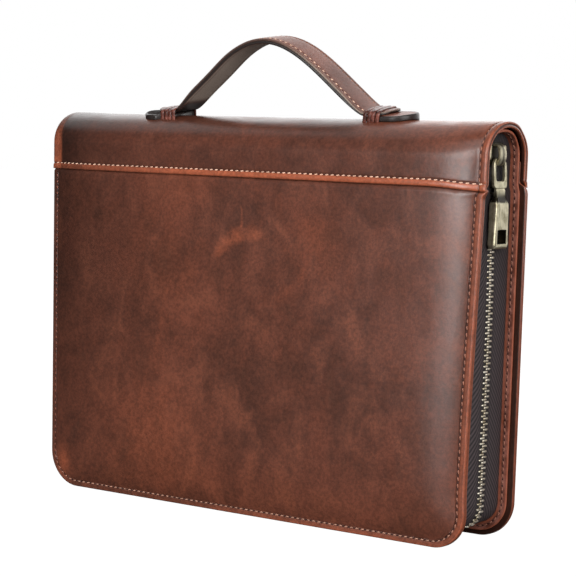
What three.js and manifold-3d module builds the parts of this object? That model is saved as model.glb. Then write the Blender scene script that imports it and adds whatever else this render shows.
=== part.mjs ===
// A zippered leather planner case with a carrying handle on its spine, zipped shut and standing on the lower
// edges of its two covers.
// Millimetres, +Z up. X runs along the spine, the front cover faces -Y, and the origin is the middle of the
// footprint, on the surface that the case stands on.

import * as THREE from 'three';
import { mergeVertices } from 'three/addons/utils/BufferGeometryUtils.js';
import Module from 'manifold-3d';

const wasm = await Module();
wasm.setup();

const { lerp, smoothstep } = THREE.MathUtils;

// Case body
const CASE_WIDTH = 260; // along the spine, at mid height
const SIDE_FLARE = 0.018; // share by which the case is wider at the spine than at its foot
const SPINE_TOP = 196.4; // height of the spine at its two ends
const SPINE_SAG = 0.4; // how far the middle of the spine lies below its ends
const ARCH_FOOT = 180.5; // height where the flat sides turn into the arch of the spine
const DEPTH_FOOT = 42.1; // over the stitched borders, at the foot of the covers
const DEPTH_SPINE = 38.5; // over the stitched borders, at the foot of the arch
const CORNER_RADIUS = 18; // lower corners of the covers
const CLEAR = 0.3; // gap between neighbouring pieces

// Covers
const COVER_EDGE = 3; // thickness of the stitched border
const EDGE_ROUND = 0.8; // rounding of the border's outer edge
const BORDER = 4.5; // width of the flat border
const SHOULDER = 6.5; // width over which the padding rises from the border
const PADDING = 2.2; // how far the padded field stands out from the border
const COVER_TOP = 178; // upper edge of the covers, under the spine band

// Spine band
const BAND_EDGE = 165.3; // height of the band's lower edges
const BAND_THICK = 1.5;
const BAND_PROUD = 0.3; // how far the band stands out from the surface of the covers
const TUCK_LENGTH = 3.5; // the covers dip under the band over this height
const SAG_RUN = 30; // length over which the spine's end dips to its middle

// Inner edge facing
const FACING_INSET = 2.5; // from the edge of the covers
const FACING_WIDTH = 8;
const FACING_THICK = 1.2;

// Zip
const TAPE_INSET = 6.7; // outer face of the tapes, from the edge of the covers
const TAPE_THICK = 1;
const TAPE_REACH = 0.95; // share of the arch's inner height that the tapes reach
const ZIP_DIP = 1.2; // how far the zip is drawn in at its two upper ends
const DIP_FOOT = 100; // height where it starts to draw in
const DIP_TOP = 160; // height where it is drawn in by the full dip
const CHAIN_WIDTH = 6;
const CHAIN_THICK = 2.6;
const SLIDER_HEIGHT = 182; // middle of the slider
const PLATE_THICK = 1.1; // each of the slider's two plates
const INNER_PLATE = 0.92; // size of the inner plate, as a share of the outer one
const FLANGE_THICK = 0.9; // turned-in edges of the outer plate
const BAIL_WIDTH = 2.4;
const BAIL_THICK = 1.1;
const BAIL_LOW = -4.2; // hollow of the bail, from the middle of the slider
const BAIL_HIGH = 3.4;
const BAIL_RISE = 2.9; // height of the bail's hollow over the outer plate
const BAIL_FULLNESS = 0.5; // below 1 the bail is squarer than half an ellipse
const BAR_RADIUS = 0.8; // cross bar of the pull, which turns under the slider's bail
const BAR_LENGTH = 11.2;
const BAR_INSET = 3.2; // middle of the bar, in from the edge line that the slider follows
const BAR_DROP = 2.5; // middle of the bar, below the middle of the slider
const RING_THICK = 1.6; // the pull's flat ring

// Handle
const HANDLE_CENTRE = -2; // middle of the handle along the spine
const STRAP_WIDTH = 19;
const STRAP_THICK = 2.8; // over the arch
const STRAP_END = 2; // thinned where the thong binds it
const TONGUE_TIP = 1.4; // thinned further at its two ends
const STRAP_CHAMFER = 0.5;
const THINNING = 12; // length over which the arch thins towards the tabs
const HANDLE_RISE = 39; // top of the arch above the foot of the tabs
const HANDLE_HALF_SPAN = 57.5; // from the middle to where the strap comes down on its tabs
const HANDLE_FULLNESS = 0.635; // below 1 the arch is fuller than a plain cosine wave
const HANDLE_LEAN = THREE.MathUtils.degToRad(6.8); // of the whole handle, towards the front
const TONGUE_END = 71; // end of the strap, from the middle of the handle
const TONGUE_ROUND = 8.5; // rounding of the strap's two ends
const TONGUE_CURL = 1; // how far the strap's two ends curl up
const TAB_THICK = 2.7;
const TAB_INNER = 59.5; // inner end of the tabs, from the middle of the handle
const TAB_OUTER = 82;
const WRAP_CENTRE = 62.5;
const WRAP_LENGTH = 9.5;
const WRAP_THICK = 1;
const WRAP_TURNS = 4;
const WRAP_GROOVE = 0.6; // thickness between two turns, as a share of the thong's
const WRAP_BEND = 0.9; // rounding of the thong over the strap's edges

const HANDLE_ENDS = [
  { side: 'left', sign: -1 },
  { side: 'right', sign: 1 },
];

// Half outline of the slider's outer plate about its middle, from its foot up
const SLIDER_OUTLINE = [
  { y: 4.8, z: -5.5 },
  { y: 6.2, z: -2.5 },
  { y: 6.2, z: 4 },
  { y: 4, z: 5.5 },
];

// The slider's wedge, which parts the two tapes
const WEDGE = { halfY: 2.4, low: -0.8, high: 4.5 };

// Half outline of the pull's ring below its bar: up the outside of an arm and down the inside
const RING_OUTLINE = [
  { y: 4.2, z: -17 },
  { y: 4.2, z: -13.2 },
  { y: 5.8, z: -12.4 },
  { y: 5.6, z: 0 },
  { y: 4, z: 0 },
  { y: 4, z: -10 },
];

// The pull's body below its bar, and the window through it
const PULL_SECTIONS = [
  { z: -15.2, halfY: 4.2, halfX: 0.9 },
  { z: -19, halfY: 5.5, halfX: 1.8 },
  { z: -40, halfY: 6.5, halfX: 1.8 },
];
const PULL_WINDOW = { halfY: 3.9, low: -38, high: -31.8, reach: 3 };

// Section of a cover from its inner edge over the border and the shoulder to the padded field
const COVER_SECTION = [
  { inset: 0, out: -COVER_EDGE },
  { inset: 0, out: -EDGE_ROUND },
  { inset: EDGE_ROUND, out: 0 },
  { inset: BORDER, out: 0 },
  { inset: BORDER + SHOULDER * 0.3, out: PADDING * 0.4 },
  { inset: BORDER + SHOULDER * 0.65, out: PADDING * 0.85 },
  { inset: BORDER + SHOULDER, out: PADDING },
];

const FINISHES = {
  pull_up_leather: { color: 0x5b2e22, roughness: 0.55, metalness: 0 },
  facing_leather: { color: 0x7c3d26, roughness: 0.6, metalness: 0 },
  handle_leather: { color: 0x73443a, roughness: 0.5, metalness: 0 },
  painted_edge_leather: { color: 0x2b2320, roughness: 0.4, metalness: 0 },
  leather_thong: { color: 0x8c4f3b, roughness: 0.6, metalness: 0 },
  zip_tape: { color: 0x2c2524, roughness: 0.9, metalness: 0 },
  antique_brass: { color: 0xb8ab84, roughness: 0.35, metalness: 1 },
};

const CORNER_STEPS = 6;
const ARCH_STEPS = 14;
const STRAP_STEPS = 36;
const TONGUE_STEPS = 7;
const TAPE_STEPS = 5;
const DIP_STEPS = 4;
const BAIL_STEPS = 8;
const BAR_SIDES = 10;
const TAB_STEPS = 10;
const HALVINGS = 40;
const FOOT_ROUNDS = 4;
const SLOPE_STEP = 0.01;
const MERGE = 1e-4;

const ARCH_RISE = SPINE_TOP - BAND_PROUD - ARCH_FOOT;
const FACING_OUTER = -COVER_EDGE - CLEAR;
const FACING_INNER = FACING_OUTER - FACING_THICK;

// Half the width of the case at a height: it narrows in a straight line towards the foot.
function halfWidth(z) {
  return (CASE_WIDTH / 2) * (1 + SIDE_FLARE * (z / SPINE_TOP - 0.5));
}

// Half the depth over the borders at a height: straight from the foot to the arch.
function halfDepth(z) {
  return lerp(DEPTH_FOOT, DEPTH_SPINE, Math.min(z / ARCH_FOOT, 1)) / 2;
}

// Height of the padding at a distance from the edge, read from the cover's section.
function swell(inset) {
  const after = COVER_SECTION.findIndex((row) => row.inset > inset);
  if (after < 0) {
    return PADDING;
  }
  const [low, high] = [COVER_SECTION[after - 1], COVER_SECTION[after]];
  const share = (inset - low.inset) / (high.inset - low.inset);
  return inset < BORDER ? 0 : lerp(low.out, high.out, share);
}

// How far a cover dips at a height so that the band can lie over it.
function tuck(z) {
  const dip = BAND_THICK + CLEAR - BAND_PROUD;
  return dip * smoothstep(z, BAND_EDGE - CLEAR - TUCK_LENGTH, BAND_EDGE - CLEAR);
}

// A point of the case's shell on the arch: angle 0 is the front, half a turn the back, and out is the
// distance outside the ellipse that carries the borders on over the spine.
function archPoint(sign, inset, angle, out) {
  const y = -(halfDepth(ARCH_FOOT) + out) * Math.cos(angle);
  const z = ARCH_FOOT + (ARCH_RISE + out) * Math.sin(angle);
  return new THREE.Vector3(sign * (halfWidth(z) - inset), y, z);
}

// How far the band's outer face stands out at a place on its arch: the padding fades out towards the top,
// where the spine sags between its ends instead.
function bandOut(inset, angle) {
  const upward = Math.sin(angle) ** 2;
  const sag = SPINE_SAG * smoothstep(inset, BORDER, SAG_RUN);
  return BAND_PROUD + lerp(swell(inset), -sag, upward);
}

// How far the zip is drawn in from the cover's edge at a height, and heights that follow that bend.
function zipDip(z) {
  return ZIP_DIP * smoothstep(z, DIP_FOOT, DIP_TOP);
}

const DIP_HEIGHTS = Array.from({ length: DIP_STEPS + 1 }, (_, step) => {
  return lerp(DIP_TOP, DIP_FOOT, step / DIP_STEPS);
});

// Points along a cover's edge at an inset: down the right side through the given heights, round the two
// lower corners and up the left side. dip(z) is added to the inset on the two sides.
function edgePath(inset, rightHeights, leftHeights = rightHeights, dip = () => 0) {
  const radius = CORNER_RADIUS - inset;
  const middle = halfWidth(CORNER_RADIUS) - CORNER_RADIUS;
  const corner = Array.from({ length: CORNER_STEPS + 1 }, (_, step) => {
    const angle = (step / CORNER_STEPS) * (Math.PI / 2);
    return { x: middle + radius * Math.cos(angle), z: CORNER_RADIUS - radius * Math.sin(angle) };
  });
  const side = (heights) => [...heights.map((z) => ({ x: halfWidth(z) - inset - dip(z), z })), ...corner];
  const left = side(leftHeights).map(({ x, z }) => ({ x: -x, z }));
  return [...side(rightHeights), ...left.reverse()];
}

// Turns a geometry's triangles over if they face inwards, judged by the sign of the enclosed volume.
function faceOut(geometry) {
  const at = geometry.attributes.position;
  const index = geometry.index.array;
  const [a, b, c] = [new THREE.Vector3(), new THREE.Vector3(), new THREE.Vector3()];
  let volume = 0;
  for (let i = 0; i < index.length; i += 3) {
    a.fromBufferAttribute(at, index[i]);
    b.fromBufferAttribute(at, index[i + 1]);
    c.fromBufferAttribute(at, index[i + 2]);
    volume += a.dot(b.cross(c));
  }
  if (volume < 0) {
    geometry.setIndex(Array.from(index).reverse());
  }
  return geometry;
}

// A closed solid through rings of points with the same count. The ends are closed by rungs between point i
// and point count - 1 - i, or the last ring joins the first where the loft runs round in a loop.
function loft(rings, loop = false) {
  const count = rings[0].length;
  const index = [];
  const quad = (a, b, c, d) => index.push(a, b, c, a, c, d);
  for (let ring = 0; ring < rings.length - (loop ? 0 : 1); ring++) {
    const here = ring * count;
    const next = ((ring + 1) % rings.length) * count;
    for (let i = 0; i < count; i++) {
      const j = (i + 1) % count;
      quad(here + i, here + j, next + j, next + i);
    }
  }
  const last = (rings.length - 1) * count;
  for (let i = 0; !loop && i < count / 2 - 1; i++) {
    const j = count - 1 - i;
    quad(i, j, j - 1, i + 1);
    quad(last + i, last + i + 1, last + j - 1, last + j);
  }
  const positions = rings.flat().flatMap((point) => point.toArray());
  const geometry = new THREE.BufferGeometry();
  geometry.setAttribute('position', new THREE.Float32BufferAttribute(positions, 3));
  geometry.setIndex(index);
  return faceOut(geometry);
}

// A geometry as a solid that can be joined and cut.
function asSolid(geometry) {
  const bare = new THREE.BufferGeometry();
  bare.setAttribute('position', geometry.attributes.position);
  bare.setIndex(geometry.index);
  const merged = mergeVertices(bare, MERGE);
  return new wasm.Manifold(
    new wasm.Mesh({
      numProp: 3,
      vertProperties: merged.attributes.position.array,
      triVerts: Uint32Array.from(merged.index.array),
    }),
  );
}

function asGeometry(solid) {
  const { vertProperties, triVerts } = solid.getMesh();
  const geometry = new THREE.BufferGeometry();
  geometry.setAttribute('position', new THREE.Float32BufferAttribute(vertProperties, 3));
  geometry.setIndex(Array.from(triVerts));
  return geometry;
}

function join(...geometries) {
  return asGeometry(geometries.map(asSolid).reduce((whole, part) => whole.add(part)));
}

// A plate in the plane of the zip: its outline is drawn in (y, z), and it reaches from x = from to x = to.
function uprightPlate(outline, from, to) {
  const [x, y, z] = [new THREE.Vector3(1, 0, 0), new THREE.Vector3(0, 1, 0), new THREE.Vector3(0, 0, 1)];
  const geometry = new THREE.ExtrudeGeometry(outline, { depth: to - from, bevelEnabled: false });
  return geometry.applyMatrix4(new THREE.Matrix4().makeBasis(y, z, x)).translate(from, 0, 0);
}

// A whole outline in (y, z) from the corners of its half at positive y.
function mirrored(corners) {
  const right = corners.map(({ y, z }) => new THREE.Vector2(y, z));
  const left = corners.map(({ y, z }) => new THREE.Vector2(-y, z));
  return new THREE.Shape([...right, ...left.reverse()]);
}

function rectangle({ halfY, low, high }) {
  return mirrored([{ y: halfY, z: low }, { y: halfY, z: high }]);
}

// A cover: rings round its edge, from the inner edge over the border and the shoulder to the padded field.
function cover(sign) {
  const rings = COVER_SECTION.map(({ inset, out }, row) => {
    const heights = [COVER_TOP - inset, BAND_EDGE - CLEAR, BAND_EDGE - CLEAR - TUCK_LENGTH];
    const dip = (z) => (row === 0 ? 0 : tuck(z));
    return edgePath(inset, heights).map(
      ({ x, z }) => new THREE.Vector3(x, sign * (halfDepth(z) + out - dip(z)), z),
    );
  });
  return loft(rings);
}

// The spine band: sections along the spine, each an inverted U with the band's thickness.
function spineBand() {
  const insets = [...new Set(COVER_SECTION.map((row) => row.inset)), SAG_RUN].filter(
    (inset) => inset !== EDGE_ROUND,
  );
  const angles = Array.from({ length: ARCH_STEPS + 1 }, (_, step) => (step / ARCH_STEPS) * Math.PI);
  const section = (sign, inset) => {
    const line = (sink) => {
      const leg = halfDepth(BAND_EDGE) + bandOut(inset, 0) - sink;
      const foot = sign * (halfWidth(BAND_EDGE) - inset);
      return [
        new THREE.Vector3(foot, -leg, BAND_EDGE),
        ...angles.map((angle) => archPoint(sign, inset, angle, bandOut(inset, angle) - sink)),
        new THREE.Vector3(foot, leg, BAND_EDGE),
      ];
    };
    return [...line(0), ...line(BAND_THICK).reverse()];
  };
  const right = insets.map((inset) => section(1, inset));
  const left = insets.map((inset) => section(-1, inset));
  return loft([...right, ...left.reverse()]);
}

// The facing strip inside the edges: down, along and up the front cover, over the left end of the spine,
// the same way back along the back cover, and over the right end of the spine.
function edgeFacing() {
  const insets = [FACING_INSET, FACING_INSET + FACING_WIDTH];
  const corners = [
    [insets[0], FACING_OUTER],
    [insets[0], FACING_INNER],
    [insets[1], FACING_INNER],
    [insets[1], FACING_OUTER],
  ];
  const along = (sign) => {
    const paths = corners.map(([inset]) => edgePath(inset, [ARCH_FOOT]));
    return paths[0].map((_, station) =>
      corners.map(([, out], corner) => {
        const { x, z } = paths[corner][station];
        return new THREE.Vector3(x, sign * (halfDepth(z) + out), z);
      }),
    );
  };
  const over = (sign) =>
    Array.from({ length: ARCH_STEPS - 1 }, (_, step) => {
      const angle = ((step + 1) / ARCH_STEPS) * Math.PI;
      return corners.map(([inset, out]) => archPoint(sign, inset, angle, out));
    });
  return loft([...along(-1), ...over(-1), ...along(1).reverse(), ...over(1).reverse()], true);
}

// A strip of the zip along the cover's edge between two insets, from y = near(z) to y = far(z), with its
// upper ends at the given heights.
function zipStrip(insets, near, far, rightHeights, leftHeights = rightHeights) {
  const ends = [rightHeights, leftHeights].map((heights) => [...heights, ...DIP_HEIGHTS]);
  const [outer, inner] = insets.map((inset) => edgePath(inset, ...ends, zipDip));
  const rings = outer.map((point, station) =>
    [
      [point, near],
      [point, far],
      [inner[station], far],
      [inner[station], near],
    ].map(([{ x, z }, reach]) => new THREE.Vector3(x, reach(z), z)),
  );
  return loft(rings);
}

// One half of the zip's tape: it runs from the facing to the chain, and its upper ends fill the arch.
function zipTape(sign) {
  const sink = FACING_INNER - CLEAR;
  const rise = ARCH_RISE + sink;
  const near = () => sign * (CHAIN_WIDTH / 2 + CLEAR);
  const far = (z) => {
    const up = Math.max(0, (z - ARCH_FOOT) / rise);
    return sign * (halfDepth(z) + sink) * Math.sqrt(1 - up ** 2);
  };
  const heights = Array.from({ length: TAPE_STEPS + 1 }, (_, step) => {
    const angle = (step / TAPE_STEPS) * (Math.PI / 2);
    return ARCH_FOOT + rise * TAPE_REACH * Math.cos(angle);
  });
  return zipStrip([TAPE_INSET, TAPE_INSET + TAPE_THICK], near, far, heights);
}

const CHAIN_INSET = TAPE_INSET + TAPE_THICK / 2 - CHAIN_THICK / 2;

// The closed chain of teeth as a plain strip: it ends under the slider's wedge on the right and under the
// spine on the left.
function zipChain() {
  const half = CHAIN_WIDTH / 2;
  const rightEnd = SLIDER_HEIGHT + WEDGE.low - 2 * CLEAR;
  const leftEnd = ARCH_FOOT + ARCH_RISE / 2;
  const insets = [CHAIN_INSET, CHAIN_INSET + CHAIN_THICK];
  return zipStrip(insets, () => -half, () => half, [rightEnd], [leftEnd]);
}

// The slider's bail: a flat bar bent in a full arch over its outer plate, with both feet on the plate.
function sliderBail(plateOut) {
  const middle = (BAIL_LOW + BAIL_HIGH) / 2;
  const half = (BAIL_HIGH - BAIL_LOW) / 2;
  const rings = Array.from({ length: BAIL_STEPS + 1 }, (_, step) => {
    const angle = (step / BAIL_STEPS) * Math.PI;
    const point = (thick, side) => {
      const rise = (BAIL_RISE + thick) * Math.abs(Math.sin(angle)) ** BAIL_FULLNESS;
      const z = middle - (half + thick) * Math.cos(angle);
      return new THREE.Vector3(plateOut - CLEAR + rise, (side * BAIL_WIDTH) / 2, z);
    };
    return [point(0, -1), point(0, 1), point(BAIL_THICK, 1), point(BAIL_THICK, -1)];
  });
  return loft(rings);
}

// The slider about its own middle, at x = 0 on the edge line that it follows: an outer and an inner plate
// joined by the wedge, turned-in flanges, and the bail that the pull's bar turns under.
function zipSlider() {
  const plateIn = -(CHAIN_INSET - CLEAR);
  const plateOut = plateIn + PLATE_THICK;
  const backOut = -(CHAIN_INSET + CHAIN_THICK + 2 * CLEAR);
  const innerOutline = SLIDER_OUTLINE.map(({ y, z }) => ({ y: y * INNER_PLATE, z: z * INNER_PLATE }));
  const [, low, high] = SLIDER_OUTLINE;
  const flange = (sign) => {
    const outline = rectangle({ halfY: FLANGE_THICK / 2, low: low.z, high: high.z });
    const plate = uprightPlate(outline, -(TAPE_INSET - CLEAR), plateIn + CLEAR);
    return plate.translate(0, sign * (low.y - FLANGE_THICK / 2), 0);
  };
  return join(
    uprightPlate(mirrored(SLIDER_OUTLINE), plateIn, plateOut),
    uprightPlate(mirrored(innerOutline), backOut - PLATE_THICK, backOut),
    uprightPlate(rectangle(WEDGE), backOut - CLEAR, plateIn + CLEAR),
    flange(1),
    flange(-1),
    sliderBail(plateOut),
  );
}

// The pull about the middle of its bar: a flat ring with a round bar on top, a narrow neck, and a thick body
// that widens towards its foot, with a window through it.
function zipPull() {
  const body = loft(
    PULL_SECTIONS.map(({ z, halfY, halfX }) => [
      new THREE.Vector3(-halfX, -halfY, z),
      new THREE.Vector3(halfX, -halfY, z),
      new THREE.Vector3(halfX, halfY, z),
      new THREE.Vector3(-halfX, halfY, z),
    ]),
  );
  const ring = uprightPlate(mirrored(RING_OUTLINE), -RING_THICK / 2, RING_THICK / 2);
  const bar = new THREE.CylinderGeometry(BAR_RADIUS, BAR_RADIUS, BAR_LENGTH, BAR_SIDES);
  const window = uprightPlate(rectangle(PULL_WINDOW), -PULL_WINDOW.reach, PULL_WINDOW.reach);
  return asGeometry(asSolid(join(body, ring, bar)).subtract(asSolid(window)));
}

const STRAP_MIDDLE = TAB_THICK + CLEAR + STRAP_END / 2;
const WRAP_END = WRAP_CENTRE + WRAP_LENGTH / 2;

// Height of the strap's middle line above the foot of the tabs, at a place along the handle: a cosine arch
// between the tabs, level on the tabs, with curled-up ends.
function strapHeight(x) {
  const share = Math.min(Math.abs(x) / HANDLE_HALF_SPAN, 1);
  const wave = ((1 + Math.cos(Math.PI * share)) / 2) ** HANDLE_FULLNESS;
  const rise = (HANDLE_RISE - STRAP_THICK / 2 - STRAP_MIDDLE) * wave;
  const curl = TONGUE_CURL * Math.max(0, (Math.abs(x) - WRAP_END) / (TONGUE_END - WRAP_END)) ** 2;
  return STRAP_MIDDLE + rise + curl;
}

// Thickness of the strap at a place along the handle.
function strapThickness(x) {
  const ends = smoothstep(Math.abs(x), HANDLE_HALF_SPAN - THINNING, HANDLE_HALF_SPAN);
  const tip = smoothstep(Math.abs(x), WRAP_END, TONGUE_END);
  return lerp(lerp(STRAP_THICK, STRAP_END, ends), TONGUE_TIP, tip);
}

// Stations along the strap: close together at its round ends, level on the tabs, and evenly over the arch.
function strapStations() {
  const span = HANDLE_HALF_SPAN;
  const tongue = (sign) =>
    Array.from({ length: TONGUE_STEPS }, (_, step) => {
      return sign * lerp(TONGUE_END, span, (step / TONGUE_STEPS) ** 2);
    });
  const arch = Array.from({ length: STRAP_STEPS + 1 }, (_, step) => lerp(-span, span, step / STRAP_STEPS));
  return [...tongue(-1), ...arch, ...tongue(1).reverse()];
}

// The strap: a chamfered rectangle carried square along its arched middle line, with rounded ends.
function handleStrap() {
  const cut = STRAP_CHAMFER;
  const rings = strapStations().map((x) => {
    const slope = (strapHeight(x + SLOPE_STEP) - strapHeight(x - SLOPE_STEP)) / (2 * SLOPE_STEP);
    const normal = new THREE.Vector3(-slope, 0, 1).normalize();
    const halfN = strapThickness(x) / 2;
    const short = Math.max(0, TONGUE_ROUND - (TONGUE_END - Math.abs(x)));
    const halfY = STRAP_WIDTH / 2 - (TONGUE_ROUND - Math.sqrt(TONGUE_ROUND ** 2 - short ** 2));
    const upper = [[-halfY, halfN - cut], [-halfY + cut, halfN], [halfY - cut, halfN], [halfY, halfN - cut]];
    const corners = [...upper, ...upper.map(([y, n]) => [y, -n]).reverse()];
    return corners.map(([y, n]) => new THREE.Vector3(x, y, strapHeight(x)).addScaledVector(normal, n));
  });
  return loft(rings);
}

// A tab: a flat plate with a round outer end that lies along the crown of the spine under the strap.
function handleTab({ sign }) {
  const half = STRAP_WIDTH / 2;
  const outline = new THREE.Shape();
  outline.moveTo(TAB_INNER, -half);
  outline.lineTo(TAB_OUTER - half, -half);
  outline.absarc(TAB_OUTER - half, 0, half, -Math.PI / 2, Math.PI / 2, false);
  outline.lineTo(TAB_INNER, half);
  const plate = new THREE.ExtrudeGeometry(outline, {
    depth: TAB_THICK,
    bevelEnabled: false,
    curveSegments: TAB_STEPS,
  });
  return plate.rotateZ(sign < 0 ? Math.PI : 0);
}

// Height of the spine's outer face at a distance in front of or behind its crown, found by halving.
function crownHeight(y) {
  let [low, high] = [0, Math.PI / 2];
  for (let i = 0; i < HALVINGS; i++) {
    const middle = (low + high) / 2;
    const point = archPoint(1, SAG_RUN, middle, bandOut(SAG_RUN, middle));
    [low, high] = -point.y > y ? [middle, high] : [low, middle];
  }
  return archPoint(1, SAG_RUN, low, bandOut(SAG_RUN, low)).z;
}

// Height of the foot of the tabs over the case's foot: the leaning tabs clear the spine where its arch has
// the same lean.
function handleFoot() {
  const touch = -Math.atan2(halfDepth(ARCH_FOOT) * Math.sin(HANDLE_LEAN), ARCH_RISE * Math.cos(HANDLE_LEAN));
  const point = archPoint(1, SAG_RUN, Math.PI / 2 + touch, bandOut(SAG_RUN, Math.PI / 2 + touch));
  return point.z - point.y * Math.tan(HANDLE_LEAN) + CLEAR;
}

const HANDLE_FOOT = handleFoot();

// The spine's outer face below a place across the handle, in the handle's own leaning frame.
function spineBelow(y) {
  const [sin, cos] = [Math.sin(HANDLE_LEAN), Math.cos(HANDLE_LEAN)];
  let z = 0;
  for (let round = 0; round < FOOT_ROUNDS; round++) {
    z = (crownHeight(Math.abs(y * cos - z * sin)) - HANDLE_FOOT - y * sin) / cos;
  }
  return z;
}

// The thong that binds the strap to its tab: turns side by side over the strap, whose legs go down to the
// spine in front of and behind the tab.
function handleWrap({ sign }) {
  const halfY = STRAP_WIDTH / 2 + CLEAR;
  const top = STRAP_MIDDLE + STRAP_END / 2 + CLEAR;
  const bend = WRAP_BEND * (1 - Math.SQRT1_2);
  const leg = (side) => [
    { y: side * halfY, z: spineBelow(side * halfY) + CLEAR, ny: side, nz: 0 },
    { y: side * halfY, z: top - WRAP_BEND, ny: side, nz: 0 },
    { y: side * (halfY - bend), z: top - bend, ny: side * Math.SQRT1_2, nz: Math.SQRT1_2 },
    { y: side * (halfY - WRAP_BEND), z: top, ny: 0, nz: 1 },
  ];
  const marks = Array.from({ length: 2 * WRAP_TURNS + 1 }, (_, mark) => mark);
  const rings = [...leg(-1), ...leg(1).reverse()].map(({ y, z, ny, nz }) => {
    const point = (mark, out) => {
      const x = sign * (WRAP_CENTRE + WRAP_LENGTH * (mark / (2 * WRAP_TURNS) - 0.5));
      return new THREE.Vector3(x, y + ny * out, z + nz * out);
    };
    const outer = marks.map((mark) => point(mark, mark % 2 ? WRAP_THICK : WRAP_THICK * WRAP_GROOVE));
    const inner = marks.map((mark) => point(mark, 0));
    return [...outer, ...inner.reverse()];
  });
  return loft(rings);
}

function piece(name, geometry, finish) {
  const mesh = new THREE.Mesh(geometry, new THREE.MeshStandardMaterial(FINISHES[finish]));
  mesh.name = name;
  return mesh;
}

const group = new THREE.Group();
group.add(
  piece('front_panel', cover(-1), 'pull_up_leather'),
  piece('back_panel', cover(1), 'pull_up_leather'),
  piece('spine_band', spineBand(), 'pull_up_leather'),
  piece('edge_facing', edgeFacing(), 'facing_leather'),
  piece('zip_tape_front', zipTape(-1), 'zip_tape'),
  piece('zip_tape_back', zipTape(1), 'zip_tape'),
  piece('zip_chain', zipChain(), 'antique_brass'),
);

const handle = new THREE.Group();
handle.position.set(HANDLE_CENTRE, 0, HANDLE_FOOT);
handle.rotation.x = HANDLE_LEAN;
handle.add(piece('handle_strap', handleStrap(), 'handle_leather'));
for (const end of HANDLE_ENDS) {
  handle.add(
    piece(`handle_tab_${end.side}`, handleTab(end), 'painted_edge_leather'),
    piece(`handle_wrap_${end.side}`, handleWrap(end), 'leather_thong'),
  );
}
group.add(handle);

const zip = new THREE.Group();
zip.position.set(halfWidth(SLIDER_HEIGHT) - ZIP_DIP, 0, SLIDER_HEIGHT);
zip.add(piece('zip_slider', zipSlider(), 'antique_brass'));
const pull = piece('zip_pull', zipPull(), 'antique_brass');
pull.position.set(-BAR_INSET, 0, -BAR_DROP);
zip.add(pull);
group.add(zip);

export default group;
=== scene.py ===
"""Dresses the solids of a zippered leather planner case with leather, stitching, zip, handle and stage.

Formulas work in millimetres, and build_piece turns them to metres.
"""

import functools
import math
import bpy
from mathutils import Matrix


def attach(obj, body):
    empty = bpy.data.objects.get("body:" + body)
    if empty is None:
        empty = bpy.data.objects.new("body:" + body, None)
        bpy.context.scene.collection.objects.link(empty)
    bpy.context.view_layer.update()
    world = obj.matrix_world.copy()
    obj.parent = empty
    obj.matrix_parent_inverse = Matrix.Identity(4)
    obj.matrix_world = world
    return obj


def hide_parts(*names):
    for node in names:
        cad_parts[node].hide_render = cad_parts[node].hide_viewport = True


bl_info = {
    "name": "Leather planner case",
    "version": (1, 0, 0),
    "blender": (4, 5, 0),
    "location": "View3D > Sidebar > Planner case",
    "description": "Builds the leather, zip, handle and stage of a planner case round its solids",
    "category": "Object",
}

import bmesh
import bpy
import numpy as np
from mathutils import Matrix

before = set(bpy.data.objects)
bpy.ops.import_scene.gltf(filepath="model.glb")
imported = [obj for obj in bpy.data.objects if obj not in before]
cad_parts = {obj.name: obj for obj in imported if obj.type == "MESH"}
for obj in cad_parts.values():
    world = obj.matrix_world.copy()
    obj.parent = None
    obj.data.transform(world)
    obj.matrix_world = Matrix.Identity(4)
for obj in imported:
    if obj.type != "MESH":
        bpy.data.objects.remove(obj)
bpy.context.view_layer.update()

MM = 0.001

# The case's own frame, in millimetres. It follows the solids, apart from the band's lower edge, the tuck
# under it, and the strap's thin ends, which sit snug on the tabs
CASE_WIDTH = 260.0
SIDE_FLARE = 0.018
SPINE_TOP = 196.4
SPINE_SAG = 0.4
SAG_RUN = 30.0
ARCH_FOOT = 180.5
DEPTH_FOOT = 42.1
DEPTH_SPINE = 38.5
CORNER_RADIUS = 18.0
CLEAR = 0.3
SNUG = 0.1
COVER_EDGE = 3.0
BORDER = 4.5
COVER_TOP = 178.0
BAND_EDGE = 166.3
BAND_THICK = 1.5
BAND_PROUD = 0.3
TUCK_LENGTH = 1.8
FACING_INSET = 2.5
FACING_WIDTH = 8.0
FACING_THICK = 1.2
TAPE_INSET = 6.7
TAPE_THICK = 1.0
TAPE_REACH = 0.95
ZIP_DIP = 1.2
DIP_FOOT = 100.0
DIP_TOP = 160.0
CHAIN_WIDTH = 6.0
CHAIN_INSET = 5.9
CHAIN_THICK = 2.6
SLIDER_HEIGHT = 182.0
HANDLE_CENTRE = -2.0
HANDLE_RISE = 39.0
HANDLE_HALF_SPAN = 57.5
HANDLE_FULLNESS = 0.635
HANDLE_LEAN = math.radians(6.8)
STRAP_WIDTH = 19.0
STRAP_THICK = 2.8
STRAP_END = 1.6
THINNING = 12.0
TONGUE_END = 71.0
TONGUE_ROUND = 8.5
TONGUE_TIP = 0.8
TAB_THICK = 2.7
TAB_INNER = 59.5
TAB_OUTER = 82.0
WRAP_CENTRE = 62.5
WRAP_LENGTH = 9.5

ARCH_RISE = SPINE_TOP - BAND_PROUD - ARCH_FOOT
BAND_LEG = ARCH_FOOT - BAND_EDGE
STRAP_MIDDLE = TAB_THICK + SNUG + STRAP_END / 2
WRAP_END = WRAP_CENTRE + WRAP_LENGTH / 2
FACING_OUTER = -COVER_EDGE - CLEAR
FACING_INNER = FACING_OUTER - FACING_THICK

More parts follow.
